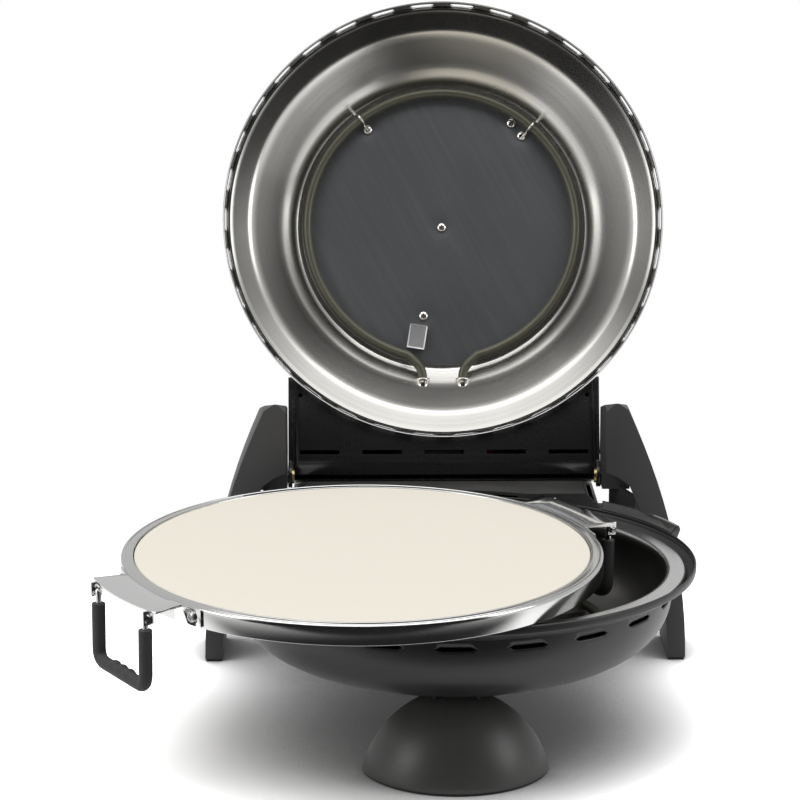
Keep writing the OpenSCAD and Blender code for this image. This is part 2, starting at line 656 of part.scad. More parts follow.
module lid_handle() color("#1b1c1e") at_dome() difference() {
    translate([0, -sqrt(handle_r * handle_r - pow(handle_l / 2 - 18, 2)), post_z + post_l + handle_d / 2])
        rotate([0, 90, 0]) union() {
            cylinder(d = handle_d, h = handle_l - handle_d, center = true, $fn = 64);
            for (s = [-1, 1]) translate([0, 0, s * (handle_l - handle_d) / 2])
                sphere(d = handle_d, $fn = 64);
        }
    post_places() cylinder(d = 14 + 2 * seat, h = post_l + 3, $fn = 64);
}

module thermostat() color("#b9b9b6") at_lid() translate([0, -22, 0]) {
    translate([0, 0, 26]) cylinder(d = 28, h = box_h - 27.5, $fn = 64);
    translate([0, 0, 26]) cylinder(d = 10, h = box_h - 25, $fn = 48);
    translate([0, 0, 26]) cylinder(d = 6, h = box_h - 26 + 12, $fn = 48);
}

module thermostat_knob() color("#131416") at_lid() translate([0, -22, box_h + 1.4]) difference() {
    union() {
        cylinder(d = knob_d, h = 6, $fn = 64);
        cylinder(d = knob_d - 8, h = 14, $fn = 64);
        translate([-2, -knob_d / 2 + 2, 0]) cube([4, 12, 15]);
    }
    translate([0, 0, -1]) cylinder(d = 6 + 2 * run_gap, h = 12.5, $fn = 48);
}

module pilot_lens() color("#c0392b") at_lid() translate([36, -22, 0]) {
    translate([0, 0, box_h + 0.05]) cylinder(d = 11, h = 2, $fn = 48);
    translate([0, 0, box_h - 8]) cylinder(d = 8, h = 9, $fn = 48);
}

// ---- tray ----

module ring_screw_places() for (az = [handle_az, handle_az - 180], s = [-1, 1])
    rotate([0, 0, az + s * 17]) translate([ring_r, 0, ring_h / 2]) rotate([0, 90, 0]) children();

module tray_ring() color("#cdcdcb") at_tray() difference() {
    rotate_extrude($fn = 180) polygon([[stone_r - 7, 0], [ring_r, 0], [ring_r, ring_h - 1],
        [ring_r - 1, ring_h], [stone_r + stone_gap, ring_h], [stone_r + stone_gap, ring_h - 1.4],
        [ring_r - 1.6, ring_h - 1.4], [ring_r - 1.6, 1.2], [stone_r - 7, 1.2]]);
    ring_screw_places() cylinder(d = 3.1, h = 10, center = true, $fn = 24);
}

module pizza_stone() color("#f1eadb") at_tray() translate([0, 0, stone_z])
    cylinder(r = stone_r, h = stone_t, $fn = 180);

module lug_places() for (s = [-1, 1]) translate([0, s * bail_r * sin(lug_a), 0]) children();

module tray_brackets() color("#c8c9c9") at_tray()
    for (az = [handle_az, handle_az - 180]) rotate([0, 0, az]) difference() {
        union() {
            rotate([0, 0, -13.5]) rotate_extrude(angle = 27, $fn = 180)
                translate([ring_r + fit_gap, ring_h - 2.2]) square([bail_r - ring_r + 3, 1.5]);
            for (s = [-1, 1]) rotate([0, 0, s > 0 ? 11 : -19.5])
                rotate_extrude(angle = 8.5, $fn = 180)
                    translate([ring_r + seat, 1]) square([1.3, ring_h - 2]);
            lug_places() translate([bail_r - 4.5, -0.8, axis_z - 4]) cube([8, 1.6, ring_h - 1.4 - axis_z + 4]);
        }
        lug_places() translate([bail_r, 0, axis_z]) rotate([90, 0, 0])
            cylinder(d = wire_d + 2 * run_gap, h = 6, center = true, $fn = 48);
        rotate([0, 0, -az]) ring_screw_places() cylinder(d = 3.1, h = 10, center = true, $fn = 24);
    }

module bracket_screws() color("#b9b9b6") at_tray() ring_screw_places()
    translate([0, 0, seat + 1.35]) screw(3, 5, 6.5);

leg_y_in = bail_r * sin(lug_a) - 3.6;   // a bail leg's place beside its lug
corner_r = 9;

// Centre line of a bail: two pins through the lugs, two legs and a bar.
module bail_path(d, pins = true, top = 0) {
    for (s = [0, 1]) mirror([0, s, 0]) {
        if (pins) run([0, leg_y_in, 0], [0, leg_y_in + 7, 0], d);
        translate([0, leg_y_in, corner_r - bail_h - 0.01])
            cylinder(d = d, h = bail_h - corner_r - top, $fn = 32);
        translate([0, leg_y_in - corner_r, corner_r - bail_h]) rotate([0, 90, 0])
            rotate_extrude(angle = 90) translate([corner_r, 0]) circle(d = d, $fn = 32);
    }
    translate([0, 0, -bail_h]) rotate([90, 0, 0])
        cylinder(d = d, h = 2 * (leg_y_in - corner_r) + 0.02, center = true, $fn = 32);
}

module bail_grip() color("#1a1a1b") difference() {
    bail_path(grip_d, false, 8);
    bail_path(wire_d + 2 * 0.02, false, 0.5);
}

module left_bail_wire() color("#cfcfcd") at_bail(handle_az) bail_path(wire_d);
module left_bail_grip() at_bail(handle_az) bail_grip();
module right_bail_wire() color("#cfcfcd") at_bail(handle_az - 180) bail_path(wire_d);
module right_bail_grip() at_bail(handle_az - 180) bail_grip();

bowl_shell();
base_reflector();
insulation_pad();
lower_element();
lower_sleeves();
element_supports();
support_screws();
front_foot();
foot_pad();
foot_bolt();
left_leg();
right_leg();
leg_pads();
leg_screws();
rear_housing();
housing_cover();
housing_screws();
collar_wings();
hinge_pins();
power_inlet();
terminal_block();
lid_shell();
lid_reflector();
lid_plate();
lid_insulation();
upper_element();
upper_sleeves();
element_clips();
plate_screws();
thermostat_clip();
hinge_box_panel();
hinge_box_cover();
hinge_arms();
hinge_bushes();
arm_screws();
lid_handle();
handle_posts();
thermostat();
pilot_lens();
thermostat_knob();
tray_ring();
pizza_stone();
tray_brackets();
bracket_screws();
left_bail_wire();
left_bail_grip();
right_bail_wire();
right_bail_grip();
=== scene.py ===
from math import asin, atan2, cos, degrees, exp, hypot, pi, radians, sin

import bmesh
import bpy
from mathutils import Matrix, Vector


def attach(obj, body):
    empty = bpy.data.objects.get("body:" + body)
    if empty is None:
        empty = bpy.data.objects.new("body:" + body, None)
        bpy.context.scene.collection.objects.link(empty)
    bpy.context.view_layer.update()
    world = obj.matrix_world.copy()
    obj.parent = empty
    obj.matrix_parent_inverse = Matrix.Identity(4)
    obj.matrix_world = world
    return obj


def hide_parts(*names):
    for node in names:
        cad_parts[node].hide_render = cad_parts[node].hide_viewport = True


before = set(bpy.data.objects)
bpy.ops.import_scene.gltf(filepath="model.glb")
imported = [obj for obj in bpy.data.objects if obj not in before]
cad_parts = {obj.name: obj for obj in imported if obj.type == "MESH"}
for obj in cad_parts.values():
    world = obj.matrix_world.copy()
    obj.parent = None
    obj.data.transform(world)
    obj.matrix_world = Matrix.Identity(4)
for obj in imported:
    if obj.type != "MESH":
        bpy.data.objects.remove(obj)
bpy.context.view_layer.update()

print("frame loaded")

# Frames of the pieces: places in mm and turns in degrees. Every piece is drawn in mm in one of
# these frames, and its mesh is then put in its place.
places = {
    "bowl": (0, 115, 0),
    "hinge": (0, 312.5, 132.3),
    "lidOpen": 107.8,
    "dome": (0, -197.5, -6.9),
    "tray": (-62.4, 75.8, 128.2),
    "trayTilt": 1.27,
    "bailReach": 184,
    "bailHeight": 6.5,
    "handleTurn": 212,
}
mm = Matrix.Scale(0.001, 4)


def moved(x, y, z):
    return Matrix.Translation((x / 1000, y / 1000, z / 1000))


def turned(angle, axis):
    return Matrix.Rotation(radians(angle), 4, axis)


atBowl = moved(*places["bowl"]) @ mm
atLidRaw = moved(*places["hinge"]) @ turned(-places["lidOpen"], "X")
atDomeRaw = atLidRaw @ moved(*places["dome"])
atDome = atDomeRaw @ mm
atTrayRaw = moved(*places["tray"]) @ turned(places["trayTilt"], "X")
atTray = atTrayRaw @ mm


# A bail hangs plumb, so its lean takes back the tray's tilt.
def atBail(turn):
    lean = degrees(asin(sin(radians(turn)) * sin(radians(places["trayTilt"]))))
    out = moved(places["bailReach"], 0, places["bailHeight"])
    return atTrayRaw @ turned(turn, "Z") @ out @ turned(lean, "Y") @ mm


# The camera: its place in metres, its turns in degrees and its lens in mm.
cameraSettings = {
    "place": (-0.0611, -1.8028, 0.6716),
    "downTilt": 12.78,
    "pan": -0.74,
    "lens": 128.92,
    "sensor": 36,
    "clip": (0.05, 60),
}


def makeCamera(s):
    data = bpy.data.cameras.new("camera")
    data.sensor_width = s["sensor"]
    data.lens = s["lens"]
    data.clip_start, data.clip_end = s["clip"]
    camera = bpy.data.objects.new("camera", data)
    camera.location = s["place"]
    camera.rotation_euler = (radians(90 - s["downTilt"]), 0, radians(s["pan"]))
    bpy.context.scene.collection.objects.link(camera)
    bpy.context.scene.camera = camera


makeCamera(cameraSettings)


# Patterns that the finishes share, each a group of shader nodes.
def newGroup(name, inputs, outputs):
    tree = bpy.data.node_groups.new(name, "ShaderNodeTree")
    for label, kind, value in inputs:
        socket = tree.interface.new_socket(label, in_out="INPUT", socket_type=kind)
        if value is not None:
            socket.default_value = value
    for label, kind in outputs:
        tree.interface.new_socket(label, in_out="OUTPUT", socket_type=kind)
    return tree, tree.nodes.new("NodeGroupInput"), tree.nodes.new("NodeGroupOutput")


def mathNode(tree, operation, a, b=None, clamp=False):
    node = tree.nodes.new("ShaderNodeMath")
    node.operation = operation
    node.use_clamp = clamp
    for i, value in enumerate((a, b)):
        if value is None:
            continue
        if isinstance(value, (int, float)):
            node.inputs[i].default_value = value
        else:
            tree.links.new(value, node.inputs[i])
    return node.outputs[0]


def noiseNode(tree, vector, scale, detail=3.0, rough=0.5, dims="3D"):
    node = tree.nodes.new("ShaderNodeTexNoise")
    node.noise_dimensions = dims
    node.inputs["Detail"].default_value = detail
    node.inputs["Roughness"].default_value = rough
    tree.links.new(vector, node.inputs["W" if dims == "1D" else "Vector"])
    if isinstance(scale, (int, float)):
        node.inputs["Scale"].default_value = scale
    else:
        tree.links.new(scale, node.inputs["Scale"])
    return node.outputs[0]


def splitAxes(tree, vector):
    node = tree.nodes.new("ShaderNodeSeparateXYZ")
    tree.links.new(vector, node.inputs[0])
    return node.outputs


def joinAxes(tree, *values):
    node = tree.nodes.new("ShaderNodeCombineXYZ")
    for value, socket in zip(values, node.inputs):
        tree.links.new(value, socket)
    return node.outputs[0]


def lengthOf(tree, vector):
    node = tree.nodes.new("ShaderNodeVectorMath")
    node.operation = "LENGTH"
    tree.links.new(vector, node.inputs[0])
    return node.outputs["Value"]


# Fine lines left by a turning tool or a brush: rings round the piece's own axis. Up a wall, this
# share of the height spaces them.
heightShare = 0.7


def makeRingLines():
    tree, gin, gout = newGroup(
        "turnedRings",
        [("Vector", "NodeSocketVector", None), ("Lines", "NodeSocketFloat", 900.0),
         ("Wander", "NodeSocketFloat", 0.25)],
        [("Height", "NodeSocketFloat"), ("Mask", "NodeSocketFloat")])
    x, y, z = splitAxes(tree, gin.outputs["Vector"])
    radius = lengthOf(tree, joinAxes(tree, x, y))
    along = mathNode(tree, "ADD", radius, mathNode(tree, "MULTIPLY", z, heightShare))
    fine = noiseNode(tree, along, gin.outputs["Lines"], 2.0, 0.6, "1D")
    broad = noiseNode(tree, gin.outputs["Vector"], 14.0, 2.0)
    shade = mathNode(tree, "MULTIPLY", broad, gin.outputs["Wander"])
    tree.links.new(fine, gout.inputs["Height"])
    tree.links.new(mathNode(tree, "ADD", fine, shade, True), gout.inputs["Mask"])
    return tree


# Straight brushed or rolled streaks, long along the first axis of the pattern.
def makeStreaks():
    tree, gin, gout = newGroup(
        "rolledStreaks",
        [("Vector", "NodeSocketVector", None), ("Lines", "NodeSocketFloat", 500.0),
         ("Stretch", "NodeSocketFloat", 0.05)],
        [("Height", "NodeSocketFloat"), ("Mask", "NodeSocketFloat")])
    x, y, z = splitAxes(tree, gin.outputs["Vector"])
    along = mathNode(tree, "MULTIPLY", x, gin.outputs["Stretch"])
    fine = noiseNode(tree, joinAxes(tree, along, y, z), gin.outputs["Lines"], 3.0, 0.6)
    tree.links.new(fine, gout.inputs["Height"])
    tree.links.new(mathNode(tree, "POWER", fine, 2.0), gout.inputs["Mask"])
    return tree


# Moulded or painted grain, with broad smudges where the broad noise passes this range.
smudgeRange = (0.35, 0.7)


def makeGrain():
    tree, gin, gout = newGroup(
        "surfaceGrain",
        [("Vector", "NodeSocketVector", None), ("Fineness", "NodeSocketFloat", 900.0),
         ("Smudge", "NodeSocketFloat", 9.0)],
        [("Height", "NodeSocketFloat"), ("Mask", "NodeSocketFloat"),
         ("Smudges", "NodeSocketFloat")])
    fine = noiseNode(tree, gin.outputs["Vector"], gin.outputs["Fineness"], 2.0, 0.55)
    broad = noiseNode(tree, gin.outputs["Vector"], gin.outputs["Smudge"], 4.0, 0.6)
    ramp = tree.nodes.new("ShaderNodeMapRange")
    ramp.inputs["From Min"].default_value = smudgeRange[0]
    ramp.inputs["From Max"].default_value = smudgeRange[1]
    tree.links.new(broad, ramp.inputs["Value"])
    tree.links.new(fine, gout.inputs["Height"])
    tree.links.new(fine, gout.inputs["Mask"])
    tree.links.new(ramp.outputs["Result"], gout.inputs["Smudges"])
    return tree


# Dust that has settled on what faces up: it starts where the normal's upward part passes steep.
dustSlope = {"steep": 0.3, "gain": 1.4}


def makeDust():
    tree, gin, gout = newGroup(
        "settledDust",
        [("Vector", "NodeSocketVector", None), ("Patches", "NodeSocketFloat", 30.0)],
        [("Mask", "NodeSocketFloat")])
    geometry = tree.nodes.new("ShaderNodeNewGeometry")
    upward = splitAxes(tree, geometry.outputs["Normal"])[2]
    over = mathNode(tree, "SUBTRACT", upward, dustSlope["steep"])
    up = mathNode(tree, "MULTIPLY", over, dustSlope["gain"], True)
    patches = noiseNode(tree, gin.outputs["Vector"], gin.outputs["Patches"], 4.0, 0.6)
    tree.links.new(mathNode(tree, "MULTIPLY", up, patches), gout.inputs["Mask"])
    return tree


groups = {"rings": makeRingLines(), "streaks": makeStreaks(), "grain": makeGrain(),
          "dust": makeDust()}

# Finishes. colour is the main colour, other the second one that the pattern brings in, mixed by
# amount. rough and roughOther are the two ends of the roughness. bump is how strongly the pattern
# shows as relief, bumpSize its height in metres. frame is the frame that the pattern lies in.
plainFinish = {
    "colour": (0.5, 0.5, 0.5), "other": (0.4, 0.4, 0.4), "amount": 0.3,
    "rough": 0.4, "roughOther": 0.5, "metal": 0.0, "coat": 0.0, "coatRough": 0.1, "spec": 0.5,
    "pattern": "grain", "scale": 900.0, "bump": 0.15, "bumpSize": 0.0002, "dust": 0.0,
    "dustGain": 4.0, "dustColour": (0.5, 0.48, 0.45), "frame": None, "bands": None,
}
finishes = {
    "bowlPaint": dict(colour=(0.026, 0.026, 0.027), other=(0.036, 0.036, 0.037), amount=0.5,
                      rough=0.34, roughOther=0.46, metal=0.35, coat=0.12, coatRough=0.3,
                      scale=1400.0, bump=0.05, dust=0.02),
    "flangeSteel": dict(colour=(0.74, 0.74, 0.735), other=(0.6, 0.6, 0.595), amount=0.5,
                        rough=0.2, roughOther=0.34, metal=1.0, pattern="rings", scale=1500.0,
                        bump=0.1, bumpSize=0.00008, frame="bowl"),
    "ovenSteel": dict(colour=(0.17, 0.168, 0.16), other=(0.12, 0.118, 0.112), amount=0.6,
                      rough=0.26, roughOther=0.36, metal=1.0, pattern="rings", scale=700.0,
                      bump=0.02, bumpSize=0.00005, frame="bowl"),
    # lidSteel's bands are painted reflection: rings of the wall are darkened where it reflects dark
    # surroundings.
    "lidSteel": dict(colour=(0.7, 0.695, 0.68), other=(0.55, 0.545, 0.53), amount=0.6,
                     rough=0.18, roughOther=0.3, metal=1.0, pattern="rings", scale=1100.0,
                     bump=0.04, bumpSize=0.00005, frame="dome",
                     bands=[(121, 1.0), (128, 0.4), (143, 0.5), (147, 1.0), (152, 0.62)]),
    "shellSteel": dict(colour=(0.6, 0.6, 0.59), other=(0.5, 0.5, 0.49), amount=0.5,
                       rough=0.16, roughOther=0.28, metal=1.0, pattern="rings", scale=1600.0,
                       bump=0.06, bumpSize=0.00006, frame="dome"),
    "plateSteel": dict(colour=(0.2, 0.206, 0.215), other=(0.3, 0.305, 0.31), amount=0.7,
                       rough=0.33, roughOther=0.42, metal=0.8, pattern="streaks", scale=260.0,
                       bump=0.12, bumpSize=0.0001, frame="plate"),
    "elementSteel": dict(colour=(0.095, 0.093, 0.07), other=(0.14, 0.135, 0.1), amount=0.8,
                         rough=0.34, roughOther=0.55, metal=0.5, scale=420.0, bump=0.2),
    "rimSteel": dict(colour=(0.7, 0.7, 0.69), other=(0.58, 0.58, 0.57), amount=0.5,
                     rough=0.07, roughOther=0.2, metal=1.0, pattern="rings", scale=1800.0,
                     bump=0.05, bumpSize=0.00006, frame="tray"),
    "bracketChrome": dict(colour=(0.8, 0.8, 0.795), other=(0.7, 0.7, 0.695), amount=0.3,
                          rough=0.06, roughOther=0.16, metal=1.0, scale=60.0, bump=0.02),
    "brightNickel": dict(colour=(0.78, 0.755, 0.71), other=(0.62, 0.6, 0.56), amount=0.4,
                         rough=0.1, roughOther=0.24, metal=1.0, scale=300.0, bump=0.05),
    "zincScrew": dict(colour=(0.6, 0.6, 0.58), other=(0.42, 0.42, 0.41), amount=0.5,
                      rough=0.22, roughOther=0.42, metal=1.0, scale=500.0, bump=0.1),
    "clipSteel": dict(colour=(0.5, 0.5, 0.51), other=(0.4, 0.4, 0.41), amount=0.5,
                      rough=0.3, roughOther=0.42, metal=0.6, scale=300.0, bump=0.05),
    # Partly black oxide and partly painted shade: the foot bolts are near black so that they sink
    # into the shade under the bowl.
    "shadeBlackBolt": dict(colour=(0.01, 0.01, 0.01), other=(0.016, 0.016, 0.016), amount=0.5,
                      rough=0.6, roughOther=0.75, metal=0.2, scale=500.0, bump=0.1),
    "galvanised": dict(colour=(0.5, 0.5, 0.49), other=(0.62, 0.62, 0.61), amount=0.6,
                       rough=0.32, roughOther=0.5, metal=1.0, scale=160.0, bump=0.08),
    "blackSheet": dict(colour=(0.012, 0.012, 0.013), other=(0.02, 0.02, 0.021), amount=0.4,
                       rough=0.22, roughOther=0.34, coat=0.3, coatRough=0.12, scale=1100.0,
                       bump=0.05, dust=0.015),
    "wingGloss": dict(colour=(0.013, 0.013, 0.014), other=(0.022, 0.022, 0.023), amount=0.3,
                      rough=0.16, roughOther=0.26, coat=0.4, coatRough=0.08, scale=900.0,
                      bump=0.03, dust=0.02),
    "legPlastic": dict(colour=(0.045, 0.045, 0.045), other=(0.055, 0.055, 0.055), amount=0.5,
                       rough=0.5, roughOther=0.62, scale=1300.0, bump=0.22, bumpSize=0.0003,
                       dust=0.03),
    "footPlastic": dict(colour=(0.045, 0.045, 0.043), other=(0.055, 0.055, 0.053), amount=0.5,
                        rough=0.36, roughOther=0.46, scale=1500.0, bump=0.1, coat=0.1,
                        coatRough=0.3, dust=0.02),
    "blackPlastic": dict(colour=(0.014, 0.014, 0.014), other=(0.024, 0.024, 0.024), amount=0.4,
                         rough=0.42, roughOther=0.55, scale=1300.0, bump=0.2, dust=0.03),
    "gripRubber": dict(colour=(0.03, 0.03, 0.031), other=(0.046, 0.046, 0.047), amount=0.5,
                       rough=0.6, roughOther=0.75, scale=1600.0, bump=0.25, dust=0.04),
    "padRubber": dict(colour=(0.02, 0.02, 0.02), other=(0.035, 0.035, 0.035), amount=0.5,
                      rough=0.75, roughOther=0.9, scale=900.0, bump=0.3),
    "bakingStone": dict(colour=(0.80, 0.755, 0.665), other=(0.74, 0.69, 0.6), amount=0.35,
                        rough=0.82, roughOther=0.95, spec=0.3, scale=700.0, bump=0.2,
                        bumpSize=0.0002),
    "mineralWool": dict(colour=(0.7, 0.66, 0.54), other=(0.5, 0.46, 0.36), amount=0.6,
                        rough=0.9, roughOther=1.0, scale=240.0, bump=0.8, bumpSize=0.001),
    "bushBrass": dict(colour=(0.72, 0.54, 0.26), other=(0.55, 0.4, 0.19), amount=0.5,
                      rough=0.25, roughOther=0.4, metal=1.0, scale=500.0, bump=0.05),
    "terminalWhite": dict(colour=(0.78, 0.75, 0.68), other=(0.66, 0.63, 0.56), amount=0.4,
                          rough=0.4, roughOther=0.55, scale=600.0, bump=0.1),
    "pilotRed": dict(colour=(0.5, 0.03, 0.015), other=(0.34, 0.015, 0.01), amount=0.4,
                     rough=0.12, roughOther=0.2, coat=0.5, coatRough=0.05, scale=500.0, bump=0.05),
}
patternFrames = {"bowl": atBowl, "dome": atDomeRaw, "tray": atTrayRaw,
                 "plate": atDomeRaw @ turned(62, "Z")}


# A Mix node has its own sockets for each kind of data: 6 and 7 take the colours.
def mixColour(tree, factor, a, b):
    node = tree.nodes.new("ShaderNodeMix")
    node.data_type = "RGBA"
    for socket, value in ((node.inputs[0], factor), (node.inputs[6], a), (node.inputs[7], b)):
        if isinstance(value, (int, float)):
            socket.default_value = value
        elif isinstance(value, tuple):
            socket.default_value = (*value, 1)
        else:
            tree.links.new(value, socket)
    return node.outputs[2]


# Painted reflection: bands of darker and lighter colour across a turned sheet stand in for the
# surroundings that it reflects. Each band is a radius in mm and a level. The ramp's full length
# stands for a radius of rampReach mm, and warmth is the painted bands' green and blue.
rampReach = 200
warmth = (0.99, 0.97)


def paintedReflectionBands(tree, vector, colour, bands):
    x, y = splitAxes(tree, vector)[:2]
    radius = lengthOf(tree, joinAxes(tree, x, y))
    ramp = tree.nodes.new("ShaderNodeValToRGB")
    tree.links.new(mathNode(tree, "MULTIPLY", radius, 1000 / rampReach), ramp.inputs[0])
    stops = ramp.color_ramp.elements
    while len(stops) < len(bands):
        stops.new(0.5)
    for stop, (r, level) in zip(stops, bands):
        stop.position = r / rampReach
        stop.color = (level, level * warmth[0], level * warmth[1], 1)
    bandReflection = mixColour(tree, 1.0, colour, ramp.outputs[0])
    bandReflection.node.blend_type = "MULTIPLY"
    return bandReflection


def newMaterial(name):
    material = bpy.data.materials.new(name)
    material.use_nodes = True
    tree = material.node_tree
    tree.nodes.clear()
    return material, tree, tree.nodes.new("ShaderNodeOutputMaterial")


def groupNode(tree, name, vector):
    node = tree.nodes.new("ShaderNodeGroup")
    node.node_tree = groups[name]
    tree.links.new(vector, node.inputs["Vector"])
    return node


def makeFinish(name, changes):
    s = {**plainFinish, **changes}
    material, tree, out = newMaterial(name)
    link = tree.links.new
    bsdf = tree.nodes.new("ShaderNodeBsdfPrincipled")
    link(bsdf.outputs[0], out.inputs[0])
    coords = tree.nodes.new("ShaderNodeTexCoord")
    mapping = tree.nodes.new("ShaderNodeMapping")
    mapping.vector_type = "TEXTURE"
    if s["frame"]:
        place = patternFrames[s["frame"]]
        mapping.inputs["Location"].default_value = place.to_translation()
        mapping.inputs["Rotation"].default_value = place.to_euler()
    link(coords.outputs["Object"], mapping.inputs["Vector"])
    vector = mapping.outputs[0]
    pattern = groupNode(tree, s["pattern"], vector)
    pattern.inputs["Fineness" if s["pattern"] == "grain" else "Lines"].default_value = s["scale"]
    smudges = groupNode(tree, "grain", vector)
    amount = mathNode(tree, "MULTIPLY", pattern.outputs["Mask"], s["amount"])
    colour = mixColour(tree, amount, s["colour"], s["other"])
    # Painted reflection: the bands darken and lighten the colour ring by ring.
    if s["bands"]:
        colour = paintedReflectionBands(tree, vector, colour, s["bands"])
    if s["dust"]:
        dust = groupNode(tree, "dust", vector)
        share = mathNode(tree, "MULTIPLY", dust.outputs["Mask"], s["dust"] * s["dustGain"])
        colour = mixColour(tree, share, colour, s["dustColour"])
    link(colour, bsdf.inputs["Base Color"])
    span = tree.nodes.new("ShaderNodeMapRange")
    span.inputs["To Min"].default_value = s["rough"]
    span.inputs["To Max"].default_value = s["roughOther"]
    half = mathNode(tree, "MULTIPLY", pattern.outputs["Mask"], 0.5)
    other = mathNode(tree, "MULTIPLY", smudges.outputs["Smudges"], 0.5)
    link(mathNode(tree, "ADD", half, other, True), span.inputs["Value"])
    link(span.outputs["Result"], bsdf.inputs["Roughness"])
    bsdf.inputs["Metallic"].default_value = s["metal"]
    bsdf.inputs["Specular IOR Level"].default_value = s["spec"]
    bsdf.inputs["Coat Weight"].default_value = s["coat"]
    bsdf.inputs["Coat Roughness"].default_value = s["coatRough"]
    bump = tree.nodes.new("ShaderNodeBump")
    bump.inputs["Strength"].default_value = s["bump"]
    bump.inputs["Distance"].default_value = s["bumpSize"]
    link(pattern.outputs["Height"], bump.inputs["Height"])
    link(bump.outputs[0], bsdf.inputs["Normal"])
    return material


materials = {name: makeFinish(name, changes) for name, changes in finishes.items()}
print("finishes made")

# The CAD nodes that keep their own shape get their finish here.
nodeFinish = {
    "bowl_shell": "bowlPaint", "base_reflector": "ovenSteel", "insulation_pad": "mineralWool",
    "lower_element": "elementSteel", "lower_sleeves": "brightNickel",
    "element_supports": "galvanised", "support_screws": "zincScrew", "front_foot": "footPlastic",
    "foot_pad": "padRubber", "foot_bolt": "shadeBlackBolt", "left_leg": "legPlastic",
    "right_leg": "legPlastic", "leg_pads": "padRubber", "leg_screws": "zincScrew",
    "rear_housing": "blackPlastic", "housing_cover": "blackPlastic", "housing_screws": "zincScrew",
    "collar_wings": "wingGloss", "hinge_pins": "zincScrew", "power_inlet": "blackPlastic",
    "terminal_block": "terminalWhite", "lid_shell": "shellSteel", "lid_reflector": "lidSteel",
    "lid_plate": "plateSteel", "lid_insulation": "mineralWool", "upper_element": "elementSteel",
    "upper_sleeves": "brightNickel", "element_clips": "brightNickel",
    "plate_screws": "brightNickel", "thermostat_clip": "clipSteel",
    "hinge_box_panel": "blackSheet", "hinge_box_cover": "blackSheet", "hinge_arms": "blackSheet",
    "hinge_bushes": "bushBrass", "arm_screws": "zincScrew", "lid_handle": "blackPlastic",
    "handle_posts": "bracketChrome", "thermostat": "galvanised", "pilot_lens": "pilotRed",
    "thermostat_knob": "blackPlastic", "tray_ring": "rimSteel", "pizza_stone": "bakingStone",
    "tray_brackets": "bracketChrome", "bracket_screws": "zincScrew",
    "left_bail_wire": "bracketChrome", "left_bail_grip": "gripRubber",
    "right_bail_wire": "bracketChrome", "right_bail_grip": "gripRubber",
}
for node, finish in nodeFinish.items():
    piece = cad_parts[node]
    if not piece.material_slots:
        piece.data.materials.append(None)
    for materialSlot in piece.material_slots:
        materialSlot.material = materials[finish]

# How a piece is made. Points that are closer than this, in mm, become one.
mergeWithin = 0.0005


# A sheet turned round the upright axis from a line of (radius, height) points.
def spun(points, steps, start=0.0, closed=False):
    bm = bmesh.new()
    verts = [bm.verts.new((r, 0, z)) for r, z in points]
    edges = [bm.edges.new(pair) for pair in zip(verts, verts[1:])]
    if closed:
        edges.append(bm.edges.new((verts[-1], verts[0])))
    if start:
        turn = Matrix.Rotation(radians(start), 3, "Z")
        bmesh.ops.rotate(bm, verts=verts, cent=(0, 0, 0), matrix=turn)
    bmesh.ops.spin(bm, geom=verts + edges, axis=(0, 0, 1), cent=(0, 0, 0), angle=radians(360),
                   steps=steps, use_merge=True, use_duplicate=False)
    bmesh.ops.remove_doubles(bm, verts=bm.verts, dist=mergeWithin)
    return bm


# Turns a line's corners into short arcs, each taking at most this share of its two sides.
def bentLine(points, radius, count=6, share=0.48):
    result = [Vector(points[0])]
    for before, at, after in zip(points, points[1:], points[2:]):
        a = Vector(before) - Vector(at)
        b = Vector(after) - Vector(at)
        cut = min(radius, a.length * share, b.length * share)
        first = Vector(at) + a.normalized() * cut
        last = Vector(at) + b.normalized() * cut
        for i in range(count + 1):
            t = i / count
            result.append(first * (1 - t) ** 2 + Vector(at) * 2 * t * (1 - t) + last * t * t)
    result.append(Vector(points[-1]))
    return result


# The same for the (radius, height) points of a turned sheet.
def softLine(points, radius, count=4):
    return [tuple(point) for point in bentLine(points, radius, count, 0.45)]


# sharp is the angle in degrees past which an edge isn't smoothed, and wall the sheet in mm,
# which grows from the drawn face to its back.
def finishPiece(name, bm, place, finish, body, instead=(), sharp=35, wall=0.0, recalc=True):
    if recalc:
        bmesh.ops.recalc_face_normals(bm, faces=bm.faces)
    bmesh.ops.transform(bm, matrix=place, verts=bm.verts)
    mesh = bpy.data.meshes.new(name)
    bm.to_mesh(mesh)
    bm.free()
    mesh.materials.append(materials[finish])
    mesh.shade_smooth()
    mesh.set_sharp_from_angle(angle=radians(sharp))
    piece = bpy.data.objects.new(name, mesh)
    bpy.context.scene.collection.objects.link(piece)
    if wall:
        thick = piece.modifiers.new("wall", "SOLIDIFY")
        thick.thickness = wall / 1000
        thick.offset = -1.0
        thick.use_even_offset = True
    if instead:
        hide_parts(*instead)
    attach(piece, body)
    return piece


